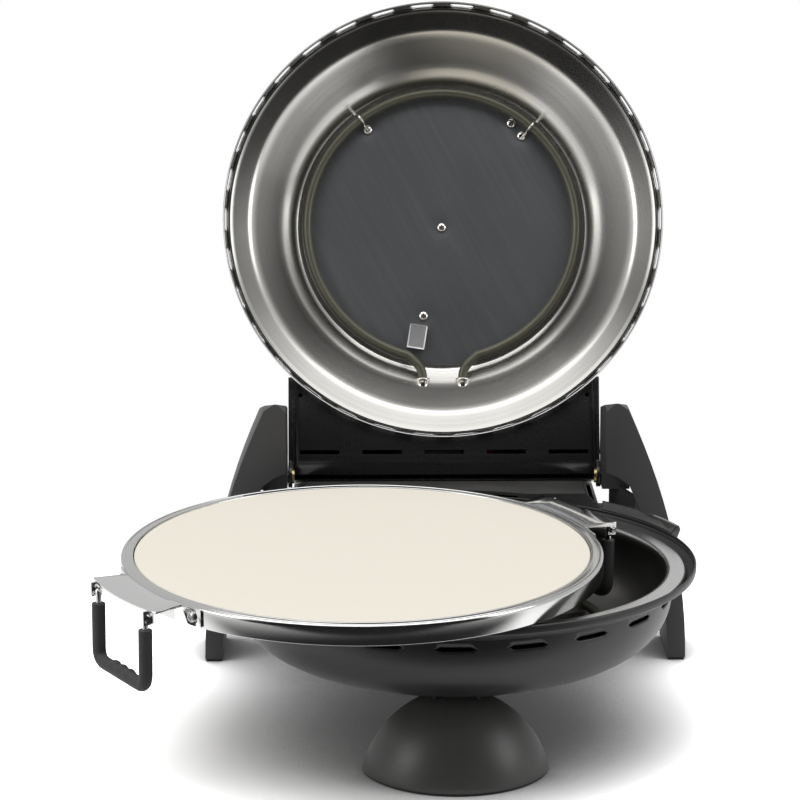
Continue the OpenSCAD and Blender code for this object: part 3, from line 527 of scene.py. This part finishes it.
# A round tube along a line of points.
def tubeMesh(points, diameter, sides=16):
    curve = bpy.data.curves.new("line", "CURVE")
    curve.dimensions = "3D"
    curve.bevel_depth = diameter / 2
    curve.bevel_resolution = sides // 4
    curve.use_fill_caps = True
    spline = curve.splines.new("POLY")
    spline.points.add(len(points) - 1)
    for point, place in zip(spline.points, points):
        point.co = (*place, 1)
    holder = bpy.data.objects.new("line", curve)
    bpy.context.scene.collection.objects.link(holder)
    bpy.context.view_layer.update()
    evaluated = holder.evaluated_get(bpy.context.evaluated_depsgraph_get())
    mesh = bpy.data.meshes.new_from_object(evaluated)
    bpy.data.objects.remove(holder)
    bm = bmesh.new()
    bm.from_mesh(mesh)
    bpy.data.meshes.remove(mesh)
    bmesh.ops.remove_doubles(bm, verts=bm.verts, dist=mergeWithin)
    return bm


# Adds a finished part to a piece that is made of several.
def addPart(bm, part, place):
    bmesh.ops.transform(part, matrix=place, verts=part.verts)
    mesh = bpy.data.meshes.new("part")
    part.to_mesh(mesh)
    part.free()
    bm.from_mesh(mesh)
    bpy.data.meshes.remove(mesh)


# Bowl and dome are superellipses: 2 would be a plain ellipse, and more is squarer.
squareness = 2.8


def belly(radius, depth, h):
    return radius * max(0.0, 1 - (h / depth) ** squareness) ** (1 / squareness)


def bellyLine(radius, depth, rows):
    angles = [radians(90 * i / rows) for i in range(rows + 1)]
    return [(radius * abs(cos(a)) ** (2 / squareness), depth * abs(sin(a)) ** (2 / squareness))
            for a in angles]


# Opens slots in a turned shell: each takes whole columns of faces between two heights, and its
# first and last columns lose this share of the height above and below, which rounds its ends.
slotEndShare = 0.24


def openSlots(bm, count, centre, width, lowZ, highZ, columnAngle):
    gone = []
    endCut = slotEndShare * (highZ - lowZ)
    for face in bm.faces:
        c = face.calc_center_median()
        if not lowZ < c.z < highZ:
            continue
        step = 360 / count
        off = abs((degrees(atan2(c.y, c.x)) - centre + step / 2) % step - step / 2)
        inMiddle = lowZ + endCut < c.z < highZ - endCut
        if off < width / 2 - columnAngle or (off < width / 2 and inMiddle):
            gone.append(face)
    bmesh.ops.delete(bm, geom=gone, context="FACES")
    rim = [v for v in bm.verts if v.is_boundary and lowZ - 0.01 < v.co.z < highZ + 0.01]
    bmesh.ops.smooth_vert(bm, verts=rim, factor=0.3, use_axis_x=True, use_axis_y=True,
                          use_axis_z=True)


# From here on each piece has its settings beside its code: lengths in mm, turns in degrees.
# Radii are taken from the piece's own axis, and heights from its frame.
bowl = {"lip": 169.0, "lipTop": 125.0, "wall": 152.8, "neck": 112.0, "depth": 63.0, "sheet": 1.0,
        "vents": 20, "ventTurn": -90.9, "ventHeight": 2.7, "ventDrop": 6.0, "ventColumns": 13,
        "columns": 480, "rows": 44, "band": 5.6, "flareRows": 6, "flareBow": 0.8}


def makeBowl(s):
    lip, top, wall, neck = s["lip"], s["lipTop"], s["wall"], s["neck"]
    low = top - s["band"]
    flare = [(lip - 1.2, top - 0.1), (lip - 0.4, top - 0.25), (lip, top - 0.8),
             (lip - 0.1, low + 0.8), (lip - 0.4, low), (lip - 1.3, low - 0.5)]
    for i in range(1, s["flareRows"] + 1):
        t = i / s["flareRows"]
        bow = s["flareBow"] * sin(pi * t)
        flare.append((lip - 1.3 + (wall - lip + 1.3) * t + bow,
                      low - 0.5 + (neck - low + 0.5) * t - bow))
    flare.append((wall - 0.02, neck - 1.4))
    middle, half = neck - s["ventDrop"], s["ventHeight"] / 2
    for z in (middle + half, middle + half * 0.5, middle - half * 0.5, middle - half):
        flare.append((belly(wall, s["depth"], neck - z), z))
    lower = [(r, neck - h) for r, h in bellyLine(wall, s["depth"], s["rows"])
             if neck - h < middle - half - 1]
    lower[-1] = (0, neck - s["depth"])
    column = 360 / s["columns"]
    bm = spun(flare + lower, s["columns"], s["ventTurn"] - column / 2)
    openSlots(bm, s["vents"], s["ventTurn"], s["ventColumns"] * column, middle - half,
              middle + half, column)
    finishPiece("bowlShell", bm, atBowl, "bowlPaint", "base", ["bowl_shell"], 50, s["sheet"])


makeBowl(bowl)

oven = {"edge": 161.5, "flangeTop": 120.2, "wall": 148.0, "floor": 112.0, "floorTop": 68.7,
        "wallTop": 118.7, "sheet": 1.2, "skin": 0.25, "columns": 240}


# The reflector is one turned sheet, and its polished flange a thin skin over the sheet's edge.
def makeBaseReflector(s):
    edge, top, wall = s["edge"], s["flangeTop"], s["wall"]
    outer = [(edge, top - 2.2), (edge - 0.6, top - 0.5), (edge - 1.8, top - 0.15), (wall + 5, top),
             (wall + 2.2, top - 0.1), (wall + 0.8, top - 0.6), (wall, s["wallTop"] - 0.6)]
    run = wall - s["floor"]
    drop = s["wallTop"] - s["floorTop"]
    curve = [(s["floor"] + run * cos(radians(a)), s["wallTop"] - drop * sin(radians(a)))
             for a in range(6, 91, 3)]
    floor = [(s["floor"] * t, s["floorTop"]) for t in (0.9, 0.7, 0.4, 0.0)]
    bm = spun(softLine(outer, 0.8, 2) + curve + floor, s["columns"])
    finishPiece("baseReflector", bm, atBowl, "ovenSteel", "base", ["base_reflector"], 50,
                s["sheet"])
    flange = [(edge + 0.15, top - 1.9), (edge - 0.4, top - 0.1), (edge - 1.8, top + 0.2),
              (wall + 3.4, top + 0.35), (wall + 1.9, top + 0.05), (wall + 0.5, top - 0.9)]
    bm = spun(softLine(flange, 1.0, 3), s["columns"])
    finishPiece("baseFlange", bm, atBowl, "flangeSteel", "base", (), 60, s["skin"])


makeBaseReflector(oven)

heatingTubes = {"tube": 7.0, "bend": 6.0, "steps": 150, "lowerRing": 106.0,
                "lowerHeight": 76.2, "lowerGap": 18.0, "lowerTail": 10.0, "lowerDip": 14.0,
                "upperRing": 105.0, "upperHeight": 40.0, "upperGap": 31.0, "upperEnd": 143.0,
                "upperFlare": 12.0, "upperOut": 2.0, "upperShift": 7.0, "upperBend": 7.0}


# An almost full ring, open by this many degrees on each side of its back.
def openRing(s, radius, z, opening):
    sweep = 360 - 2 * opening
    angles = [radians(90 + opening + sweep * i / s["steps"]) for i in range(s["steps"] + 1)]
    return [Vector((radius * cos(a), radius * sin(a), z)) for a in angles]


def makeLowerElement(s):
    r, z, tail = s["lowerRing"], s["lowerHeight"], s["lowerTail"]
    opening = degrees(asin(s["lowerGap"] / 2 / hypot(r, tail)) + atan2(tail, r))
    ring = openRing(s, r, z, opening)
    turnIn = Matrix.Rotation(radians(90 + opening), 3, "Z")
    start = [turnIn @ Vector((r, -tail, z - s["lowerDip"])), turnIn @ Vector((r, -tail, z))]
    end = [Vector((-p.x, p.y, p.z)) for p in reversed(start)]
    path = bentLine(start + [ring[0]], s["bend"])[:-1] + ring
    path += bentLine([ring[-1]] + end, s["bend"])[1:]
    finishPiece("lowerElement", tubeMesh(path, s["tube"]), atBowl, "elementSteel", "base",
                ["lower_element"], 60)


def makeUpperElement(s):
    r, z, half = s["upperRing"], s["upperHeight"], s["upperGap"] / 2
    ring = openRing(s, r, z, degrees(asin((half + s["upperFlare"]) / (r + s["upperOut"]))))
    end = [ring[-1], Vector((half, r + s["upperShift"], z)), Vector((half, s["upperEnd"], z))]
    end = bentLine(end, s["upperBend"])
    start = [Vector((-p.x, p.y, p.z)) for p in reversed(end)]
    path = start[:-1] + ring + end[1:]
    finishPiece("upperElement", tubeMesh(path, s["tube"]), atDome, "elementSteel", "lid",
                ["upper_element"], 60)


makeLowerElement(heatingTubes)
makeUpperElement(heatingTubes)
print("bowl made")

lid = {"hem": 168.6, "dome": 163.5, "hemHeight": 9.0, "domeHeight": 71.0, "sheet": 1.0,
       "vents": 34, "columns": 544, "ventLow": 3.3, "ventHigh": 7.5, "shoulder": 2.0,
       "ventColumns": 9, "rows": 44, "wall": 148.0, "floor": 112.0, "floorDepth": 49.0,
       "wallDepth": 17.0, "flangeDepth": 10.4, "flangeGap": 3.3, "ridge": 3.4, "bendOut": 13.0,
       "bendUp": 10.4, "floorStep": 0.5, "reflectorColumns": 240}


def makeLidShell(s):
    out, z0 = s["hem"], s["hemHeight"]
    hem = [(out - 1.3, 0.4), (out - 0.6, 0.05), (out, 0.6), (out, 2.4), (out - 0.25, 3.2)]
    slope = s["shoulder"] / (z0 - 3.4)
    rows = (s["ventLow"], s["ventLow"] + 0.7, s["ventHigh"] - 0.7, s["ventHigh"], z0)
    hem += [(out - slope * (z - 2.8), z) for z in rows]
    dome = [(r, z0 + h) for r, h in bellyLine(s["dome"], s["domeHeight"], s["rows"])]
    dome = [(s["dome"], z0 + 1.9)] + [(r, z) for r, z in dome if z > z0 + 2.4]
    dome[-1] = (0, z0 + s["domeHeight"])
    column = 360 / s["columns"]
    turn = 90 + 360 / s["vents"] / 2
    bm = spun(hem + dome, s["columns"], turn - column / 2)
    openSlots(bm, s["vents"], turn, s["ventColumns"] * column, s["ventLow"], s["ventHigh"], column)
    finishPiece("lidShell", bm, atDome, "shellSteel", "lid", ["lid_shell"], 50, s["sheet"])


# From the hem inwards: a flange, a rounded ridge, a wall with one bend, and the floor.
def makeLidReflector(s):
    low, deep, floor = s["wallDepth"], s["floorDepth"], s["floor"]
    line = [(s["hem"] - s["flangeGap"], s["hemHeight"] - 0.7),
            (s["dome"] - 1.2, s["flangeDepth"] - 0.2), (s["wall"] + 1.0, low - 1.6),
            (s["wall"] - 2.6, low + 1.7)]
    line = softLine(line, s["ridge"], 8)
    bend = (floor + s["bendOut"], deep - s["bendUp"])
    line += softLine([line[-1], bend, (floor, deep), (floor - 9, deep)], 1.8, 4)[1:]
    line += [(r, deep + s["floorStep"]) for r in (floor - 13, floor * 0.5, 0.0)]
    bm = spun(line, s["reflectorColumns"])
    finishPiece("lidReflector", bm, atDome, "lidSteel", "lid", ["lid_reflector"], 60, s["sheet"])


makeLidShell(lid)
makeLidReflector(lid)
print("lid made")

# Pieces that follow the CAD solids, with softened edges. Each row says which node it follows, then
# the piece's name, the edge's radius in mm, its steps and the body.
softEdges = {
    "left_leg": ("leftLeg", 2.2, 3, "base"),
    "right_leg": ("rightLeg", 2.2, 3, "base"),
    "front_foot": ("frontFoot", 0.9, 2, "base"),
    "rear_housing": ("rearHousing", 1.6, 3, "base"),
    "housing_cover": ("housingCover", 0.7, 2, "base"),
    "power_inlet": ("powerInlet", 0.6, 2, "base"),
    "collar_wings": ("collarWings", 1.1, 3, "base"),
    "hinge_box_panel": ("hingeBoxPanel", 0.25, 2, "lid"),
    "hinge_box_cover": ("hingeBoxCover", 0.5, 2, "lid"),
    "hinge_arms": ("hingeArms", 0.6, 2, "lid"),
    "lid_handle": ("lidHandle", 1.8, 3, "lid"),
    "handle_posts": ("handlePosts", 0.5, 2, "lid"),
    "plate_screws": ("plateScrews", 0.2, 2, "lid"),
    "tray_brackets": ("trayBrackets", 0.35, 2, "tray"),
    "bracket_screws": ("bracketScrews", 0.2, 2, "tray"),
}


# merge is in metres. Faces within flat degrees join, and edges past sharp degrees are rounded.
softening = {"merge": 2e-6, "flat": 1.5, "sharp": 38}


def sharpEdges(bm, angle):
    return [e for e in bm.edges
            if len(e.link_faces) == 2 and e.calc_face_angle(0) > radians(angle)]


def softened(s, node, name, radius, steps, body):
    bm = bmesh.new()
    bm.from_mesh(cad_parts[node].data)
    bmesh.ops.remove_doubles(bm, verts=bm.verts, dist=s["merge"])
    bmesh.ops.dissolve_limit(bm, angle_limit=radians(s["flat"]), verts=bm.verts, edges=bm.edges)
    bmesh.ops.dissolve_degenerate(bm, dist=s["merge"], edges=bm.edges)
    bmesh.ops.bevel(bm, geom=sharpEdges(bm, s["sharp"]), offset=radius / 1000,
                    offset_type="OFFSET", segments=steps, profile=0.5, affect="EDGES",
                    clamp_overlap=True, material=-1, loop_slide=True)
    bmesh.ops.triangulate(bm, faces=bm.faces)
    finishPiece(name, bm, Matrix.Identity(4), nodeFinish[node], body, [node], 34, recalc=False)


for node, row in softEdges.items():
    softened(softening, node, *row)
print("softened pieces made")

tray = {"ring": 164.0, "height": 13.5, "stone": 155.0, "stoneLow": 1.4, "stoneThick": 12.0,
        "inner": 148.0, "sheet": 1.2, "columns": 240}


def makeTray(s):
    r, top, stone = s["ring"], s["height"], s["stone"]
    rim = [(s["inner"], 0.0), (r - 0.3, 0.0), (r, 0.3), (r, top - 2.2), (r - 0.35, top - 0.9),
           (r - 1.5, top - 0.05), (r - 2.6, top - 0.15), (r - 2.9, top - 0.5),
           (r - 3.5, top - 0.5), (r - 3.8, top - 0.2), (r - 6.9, top - 0.25),
           (r - 7.2, top - 0.05), (r - 7.9, top - 0.05), (stone + 0.45, top - 0.4),
           (stone + 0.4, top - 1.6), (r - 1.8, top - 1.6), (r - 1.8, s["sheet"]),
           (s["inner"], s["sheet"])]
    rim = softLine(rim + [rim[0]], 0.5, 2)
    bm = spun(rim[:-1], s["columns"], closed=True)
    finishPiece("trayRing", bm, atTray, "rimSteel", "tray", ["tray_ring"], 40)
    z0, z1 = s["stoneLow"], s["stoneLow"] + s["stoneThick"]
    line = [(0, z0), (stone - 1, z0), (stone, z0 + 1), (stone, z1 - 1.6), (stone - 0.5, z1 - 0.45),
            (stone - 1.7, z1), (stone * 0.7, z1), (0, z1)]
    bm = spun(softLine(line, 0.7, 2), s["columns"])
    finishPiece("pizzaStone", bm, atTray, "bakingStone", "tray", ["pizza_stone"], 40)


makeTray(tray)

bail = {"leg": 32.77, "corner": 9.0, "drop": 47.0, "wire": 4.0, "grip": 9.0, "gripTop": 8.0,
        "gripSides": 24, "gripEnd": 1.6, "pin": 7.0, "pinBend": 1.6, "bump": 1.7, "bumps": 3,
        "bumpSpan": 30.0, "bumpFrom": 0.5, "bumpFade": 3.0, "step": 1.2}


# From one end to the other: the grip's stretch, or the whole wire with the pins in its lugs.
def bailLine(s, pins):
    leg, top, bottom = s["leg"], -s["gripTop"], -s["drop"]
    half = bentLine([(0, leg, top), (0, leg, bottom), (0, 0.0, bottom)], s["corner"])
    if pins:
        pin = [(0, leg + s["pin"], 0), (0, leg, 0), (0, leg, top)]
        half = bentLine(pin, s["pinBend"])[:-1] + half
    return half[:-1] + [Vector((p.x, -p.y, p.z)) for p in reversed(half)]


def makeBail(s, label, turn):
    body = label + "_bail"
    wire = tubeMesh(bailLine(s, True), s["wire"])
    finishPiece(label + "BailWire", wire, atBail(turn), "bracketChrome", body,
                [label + "_bail_wire"], 50)
    line = bailLine(s, False)
    dense = []
    for a, b in zip(line, line[1:]):
        steps = max(1, int((b - a).length / s["step"]))
        dense += [a + (b - a) * i / steps for i in range(steps)]
    grip = tubeMesh(dense + [line[-1]], s["grip"], s["gripSides"])
    bmesh.ops.bevel(grip, geom=sharpEdges(grip, 60), offset=s["gripEnd"], offset_type="OFFSET",
                    segments=3, profile=0.5, affect="EDGES", clamp_overlap=True, material=-1)
    span, bar = s["bumpSpan"], -s["drop"]
    for v in grip.verts:
        if abs(v.co.y) < span / 2 and v.co.z > bar + s["bumpFrom"]:
            wave = 0.5 - 0.5 * cos(2 * pi * s["bumps"] * (v.co.y / span + 0.5))
            v.co.z += s["bump"] * wave * min(1, (v.co.z - bar) / s["bumpFade"])
    finishPiece(label + "BailGrip", grip, atBail(turn), "gripRubber", body,
                [label + "_bail_grip"], 50)


makeBail(bail, "left", places["handleTurn"])
makeBail(bail, "right", places["handleTurn"] - 180)
print("tray made")

# The plate has a dimple at each screw. screws says the turn of each one and its distance from the
# plate's edge.
plate = {"radius": 109.0, "rows": 54, "columns": 180, "dimple": 0.75, "dimpleWidth": 7.0,
         "dimpleReach": 2.5, "rim": 1.2, "middleScrew": (0.0, 0.4),
         "screws": [(-126.75, 12.9), (-56.15, 10.3), (-48.8, 13.3), (101.7, 37.5)]}


def plateScrews(s):
    spots = [((s["radius"] - d) * cos(radians(a)), (s["radius"] - d) * sin(radians(a)))
             for a, d in s["screws"]]
    return spots + [s["middleScrew"]]


# The height of a CAD node's lowest point in the dome's frame.
def lowestOf(node):
    toDome = atDome.inverted()
    return min((toDome @ v.co).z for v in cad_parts[node].data.vertices)


def makePlate(s, bottom):
    r = s["radius"]
    line = [(r - 0.3, bottom + 1.1), (r, bottom + 0.7), (r - 0.25, bottom + 0.15),
            (r - 0.9, bottom)]
    line += [(r * (1 - i / s["rows"]), bottom + 0.02) for i in range(1, s["rows"])]
    line.append((0, bottom + 0.02))
    bm = spun(line, s["columns"])
    spots = plateScrews(s)
    for v in bm.verts:
        for x, y in spots:
            near = hypot(v.co.x - x, v.co.y - y) / s["dimpleWidth"]
            if near < s["dimpleReach"] and hypot(v.co.x, v.co.y) < r - s["rim"]:
                v.co.z += s["dimple"] * exp(-near * near)
    finishPiece("lidPlate", bm, atDome, "plateSteel", "lid", ["lid_plate"], 60)


plateLevel = lowestOf("lid_plate")
makePlate(plate, plateLevel)

# A wire clip starts at the plate, goes round the element and ends in a foot on the plate.
clip = {"angles": [127, 48], "ring": 105.0, "tube": 7.0, "wire": 1.8, "sides": 12, "level": 40.0,
        "gap": 0.1, "startDrop": 0.6, "foot": 7.0, "footDrop": 1.3, "bend": 1.2}


def makeElementClips(s):
    bm = bmesh.new()
    reach = s["tube"] / 2 + s["wire"] / 2 + s["gap"]
    outer, inner = s["ring"] + reach, s["ring"] - reach
    level, foot = s["level"], plateLevel - s["footDrop"]
    points = [(outer, plateLevel - s["startDrop"]), (outer, level)]
    points += [(s["ring"] + reach * cos(radians(a)), level - reach * sin(radians(a)))
               for a in range(12, 180, 12)]
    points += [(inner, level), (inner, foot), (inner - s["foot"], foot)]
    for angle in s["angles"]:
        line = bentLine([(x, 0, z) for x, z in points], s["bend"], 3)
        addPart(bm, tubeMesh(line, s["wire"], s["sides"]), turned(-angle, "Z"))
    finishPiece("elementClips", bm, atDome, "brightNickel", "lid", ["element_clips"], 50)


makeElementClips(clip)

sleeve = {"gap": 31.0, "start": 119.5, "level": 40.0, "radius": 5.5, "length": 11.6, "bore": 3.55,
          "columns": 64}


def makeUpperSleeves(s):
    bm = bmesh.new()
    r, end, bore = s["radius"], s["length"], s["bore"]
    line = [(bore, 0.3), (bore + 0.3, 0), (r - 0.4, 0), (r, 0.4), (r, 1.5), (r - 0.35, 1.8),
            (r - 0.35, end - 1.7), (r, end - 1.4), (r, end - 0.4), (r - 0.4, end),
            (bore + 0.3, end), (bore, end - 0.3)]
    for side in (-1, 1):
        one = spun(line, s["columns"], closed=True)
        bmesh.ops.recalc_face_normals(one, faces=one.faces)
        place = Matrix.Translation((side * s["gap"] / 2, s["start"], s["level"]))
        addPart(bm, one, place @ turned(-90, "X"))
    finishPiece("upperSleeves", bm, atDome, "brightNickel", "lid", ["upper_sleeves"], 50,
                recalc=False)


makeUpperSleeves(sleeve)

bulbClip = {"place": (-19.5, 86.5), "size": (14.0, 19.0, 4.4), "turn": 9.0, "wall": 1.1,
            "deep": 0.8, "edge": 0.3, "drop": 0.2}


# A pressed tray-shaped clip: a block whose face is inset and pushed in.
def makeBulbClip(s):
    bm = bmesh.new()
    w, d, h = s["size"]
    bmesh.ops.create_cube(bm, size=1.0)
    bmesh.ops.scale(bm, vec=(w, d, h), verts=bm.verts)
    bmesh.ops.translate(bm, vec=(0, 0, -h / 2), verts=bm.verts)
    face = min(bm.faces, key=lambda f: f.calc_center_median().z)
    bmesh.ops.inset_region(bm, faces=[face], thickness=s["wall"], depth=0.0, use_even_offset=True)
    bmesh.ops.translate(bm, vec=(0, 0, s["deep"]), verts=face.verts)
    bmesh.ops.bevel(bm, geom=bm.edges[:], offset=s["edge"], offset_type="OFFSET", segments=2,
                    profile=0.5, affect="EDGES", clamp_overlap=True, material=-1)
    place = Matrix.Translation((*s["place"], plateLevel - s["drop"]))
    bmesh.ops.transform(bm, matrix=place @ turned(s["turn"], "Z"), verts=bm.verts)
    finishPiece("thermostatClip", bm, atDome, "clipSteel", "lid", ["thermostat_clip"], 40)


makeBulbClip(bulbClip)
print("lid fittings made")

# The studio, in metres: what the camera and the metal see is white, apart from a dark card in
# front. floorSeen, floorGloss and floorBounce say how light the floor is to the camera, to the
# metal and to bounced light. It fades to white from fadeFrom to fadeTo, and the metal sees it go
# dark in front from darkFrom to darkTo.
studio = {"worldLevel": 0.36, "glossLevel": 0.62, "floorSize": 9.0, "floorRough": 0.9,
          "floorSeen": 2.5, "floorGloss": 1.35, "floorBounce": 0.42, "floorDark": 0.02,
          "fadeFrom": 0.34, "fadeTo": 0.8, "shadowReach": 0.13, "shadowDark": 0.16,
          "shadowFrom": 0.3, "shadowTo": 1.0, "shadowSamples": 12, "darkFrom": -0.08,
          "darkTo": -0.2}


def stageObject(name, bm, material):
    mesh = bpy.data.meshes.new(name)
    bm.to_mesh(mesh)
    bm.free()
    mesh.materials.append(material)
    item = bpy.data.objects.new(name, mesh)
    bpy.context.scene.collection.objects.link(item)
    return item


def makeWorld(s):
    world = bpy.data.worlds.new("studio")
    bpy.context.scene.world = world
    world.use_nodes = True
    tree = world.node_tree
    tree.nodes.clear()
    link = tree.links.new
    out = tree.nodes.new("ShaderNodeOutputWorld")
    seen = tree.nodes.new("ShaderNodeBackground")
    light = tree.nodes.new("ShaderNodeBackground")
    seen.inputs["Strength"].default_value = 1.0
    light.inputs["Color"].default_value = (1, 1, 1, 1)
    light.inputs["Strength"].default_value = s["worldLevel"]
    path = tree.nodes.new("ShaderNodeLightPath")
    either = mathNode(tree, "MAXIMUM", path.outputs["Is Camera Ray"], path.outputs["Is Glossy Ray"])
    either = mathNode(tree, "MAXIMUM", either, path.outputs["Is Transmission Ray"])
    shade = mixColour(tree, path.outputs["Is Glossy Ray"], (1, 1, 1), (s["glossLevel"],) * 3)
    link(shade, seen.inputs["Color"])
    mix = tree.nodes.new("ShaderNodeMixShader")
    link(either, mix.inputs[0])
    link(light.outputs[0], mix.inputs[1])
    link(seen.outputs[0], mix.inputs[2])
    link(mix.outputs[0], out.inputs[0])


def rangeNode(tree, value, low, high):
    node = tree.nodes.new("ShaderNodeMapRange")
    node.interpolation_type = "SMOOTHSTEP"
    node.inputs["From Min"].default_value = low
    node.inputs["From Max"].default_value = high
    tree.links.new(value, node.inputs["Value"])
    return node.outputs["Result"]


def makeFloor(s):
    bm = bmesh.new()
    bmesh.ops.create_grid(bm, x_segments=2, y_segments=2, size=s["floorSize"] / 2)
    material = bpy.data.materials.new("paleFloor")
    material.use_nodes = True
    tree = material.node_tree
    link = tree.links.new
    bsdf = tree.nodes["Principled BSDF"]
    bsdf.inputs["Roughness"].default_value = s["floorRough"]
    bsdf.inputs["Specular IOR Level"].default_value = 0.0
    path = tree.nodes.new("ShaderNodeLightPath")
    either = mathNode(tree, "MAXIMUM", path.outputs["Is Camera Ray"], path.outputs["Is Glossy Ray"])
    bounce, gloss, seen = s["floorBounce"], s["floorGloss"], s["floorSeen"]
    coords = tree.nodes.new("ShaderNodeTexCoord")
    far = rangeNode(tree, lengthOf(tree, coords.outputs["Object"]), s["fadeFrom"], s["fadeTo"])
    y = splitAxes(tree, coords.outputs["Object"])[1]
    front = rangeNode(tree, y, s["darkFrom"], s["darkTo"])
    front = mathNode(tree, "MULTIPLY", front, path.outputs["Is Glossy Ray"])
    # Painted shadow: to the camera the floor's colour darkens towards shadowDark where ambient
    # occlusion finds the object within shadowReach.
    near = tree.nodes.new("ShaderNodeAmbientOcclusion")
    near.samples = s["shadowSamples"]
    near.inputs["Distance"].default_value = s["shadowReach"]
    free = rangeNode(tree, near.outputs["AO"], s["shadowFrom"], s["shadowTo"])
    under = mixColour(tree, free, (seen * s["shadowDark"],) * 3, (seen,) * 3)
    shade = mixColour(tree, path.outputs["Is Glossy Ray"], (bounce,) * 3, (gloss,) * 3)
    shade = mixColour(tree, path.outputs["Is Camera Ray"], shade, under)
    shade = mixColour(tree, front, shade, (s["floorDark"],) * 3)
    link(shade, bsdf.inputs["Base Color"])
    white = tree.nodes.new("ShaderNodeEmission")
    mix = tree.nodes.new("ShaderNodeMixShader")
    link(mathNode(tree, "MULTIPLY", far, either), mix.inputs[0])
    link(bsdf.outputs[0], mix.inputs[1])
    link(white.outputs[0], mix.inputs[2])
    link(mix.outputs[0], tree.nodes["Material Output"].inputs[0])
    stageObject("floor", bm, material)


# The card stands upright in front of the object: half is its half width and half height in
# metres, and it fades over soft towards its edges.
darkCard = {"place": (-0.02, -0.42, 0.6), "half": (0.8, 0.85), "soft": 0.22, "level": 0.02}


# Only the gloss of the metal sees this card.
def makeDarkCard(s):
    bm = bmesh.new()
    bmesh.ops.create_grid(bm, x_segments=1, y_segments=1, size=1.0)
    scale = Matrix.Diagonal((*s["half"], 1, 1))
    bmesh.ops.transform(bm, verts=bm.verts, matrix=turned(90, "X") @ scale)
    bmesh.ops.translate(bm, verts=bm.verts, vec=s["place"])
    material, tree, out = newMaterial("darkCard")
    link = tree.links.new
    coords = tree.nodes.new("ShaderNodeTexCoord")
    axes = splitAxes(tree, coords.outputs["Object"])
    shares = []
    for axis, half in ((0, s["half"][0]), (2, s["half"][1])):
        off = mathNode(tree, "SUBTRACT", axes[axis], s["place"][axis])
        off = mathNode(tree, "ABSOLUTE", off)
        shares.append(rangeNode(tree, off, half, half - s["soft"]))
    dark = tree.nodes.new("ShaderNodeEmission")
    dark.inputs[1].default_value = s["level"]
    clear = tree.nodes.new("ShaderNodeBsdfTransparent")
    mix = tree.nodes.new("ShaderNodeMixShader")
    link(mathNode(tree, "MULTIPLY", *shares), mix.inputs[0])
    link(clear.outputs[0], mix.inputs[1])
    link(dark.outputs[0], mix.inputs[2])
    link(mix.outputs[0], out.inputs[0])
    card = stageObject("darkCard", bm, material)
    card.visible_camera = card.visible_diffuse = card.visible_shadow = False
    card.visible_transmission = card.visible_volume_scatter = False


makeWorld(studio)
makeFloor(studio)
makeDarkCard(darkCard)

# Each lamp's name, place, aim, size and power, in metres and watts.
lamps = [
    ("overheadSoftbox", (0.0, -0.1, 1.9), (0, 0.15, 0.1), 2.4, 30.0),
    ("leftSoftbox", (-1.7, -0.7, 0.9), (0, 0.1, 0.15), 1.0, 9.0),
    ("rightSoftbox", (1.7, -0.5, 0.9), (0, 0.1, 0.15), 0.8, 6.0),
]


def makeLamps(rows):
    for name, place, aim, size, power in rows:
        data = bpy.data.lights.new(name, "AREA")
        data.shape = "SQUARE"
        data.size = size
        data.energy = power
        lamp = bpy.data.objects.new(name, data)
        lamp.location = place
        lamp.rotation_euler = (Vector(aim) - Vector(place)).to_track_quat("-Z", "Y").to_euler()
        bpy.context.scene.collection.objects.link(lamp)


makeLamps(lamps)

scene = bpy.context.scene
scene.view_settings.view_transform = "Standard"
print("scene ready")
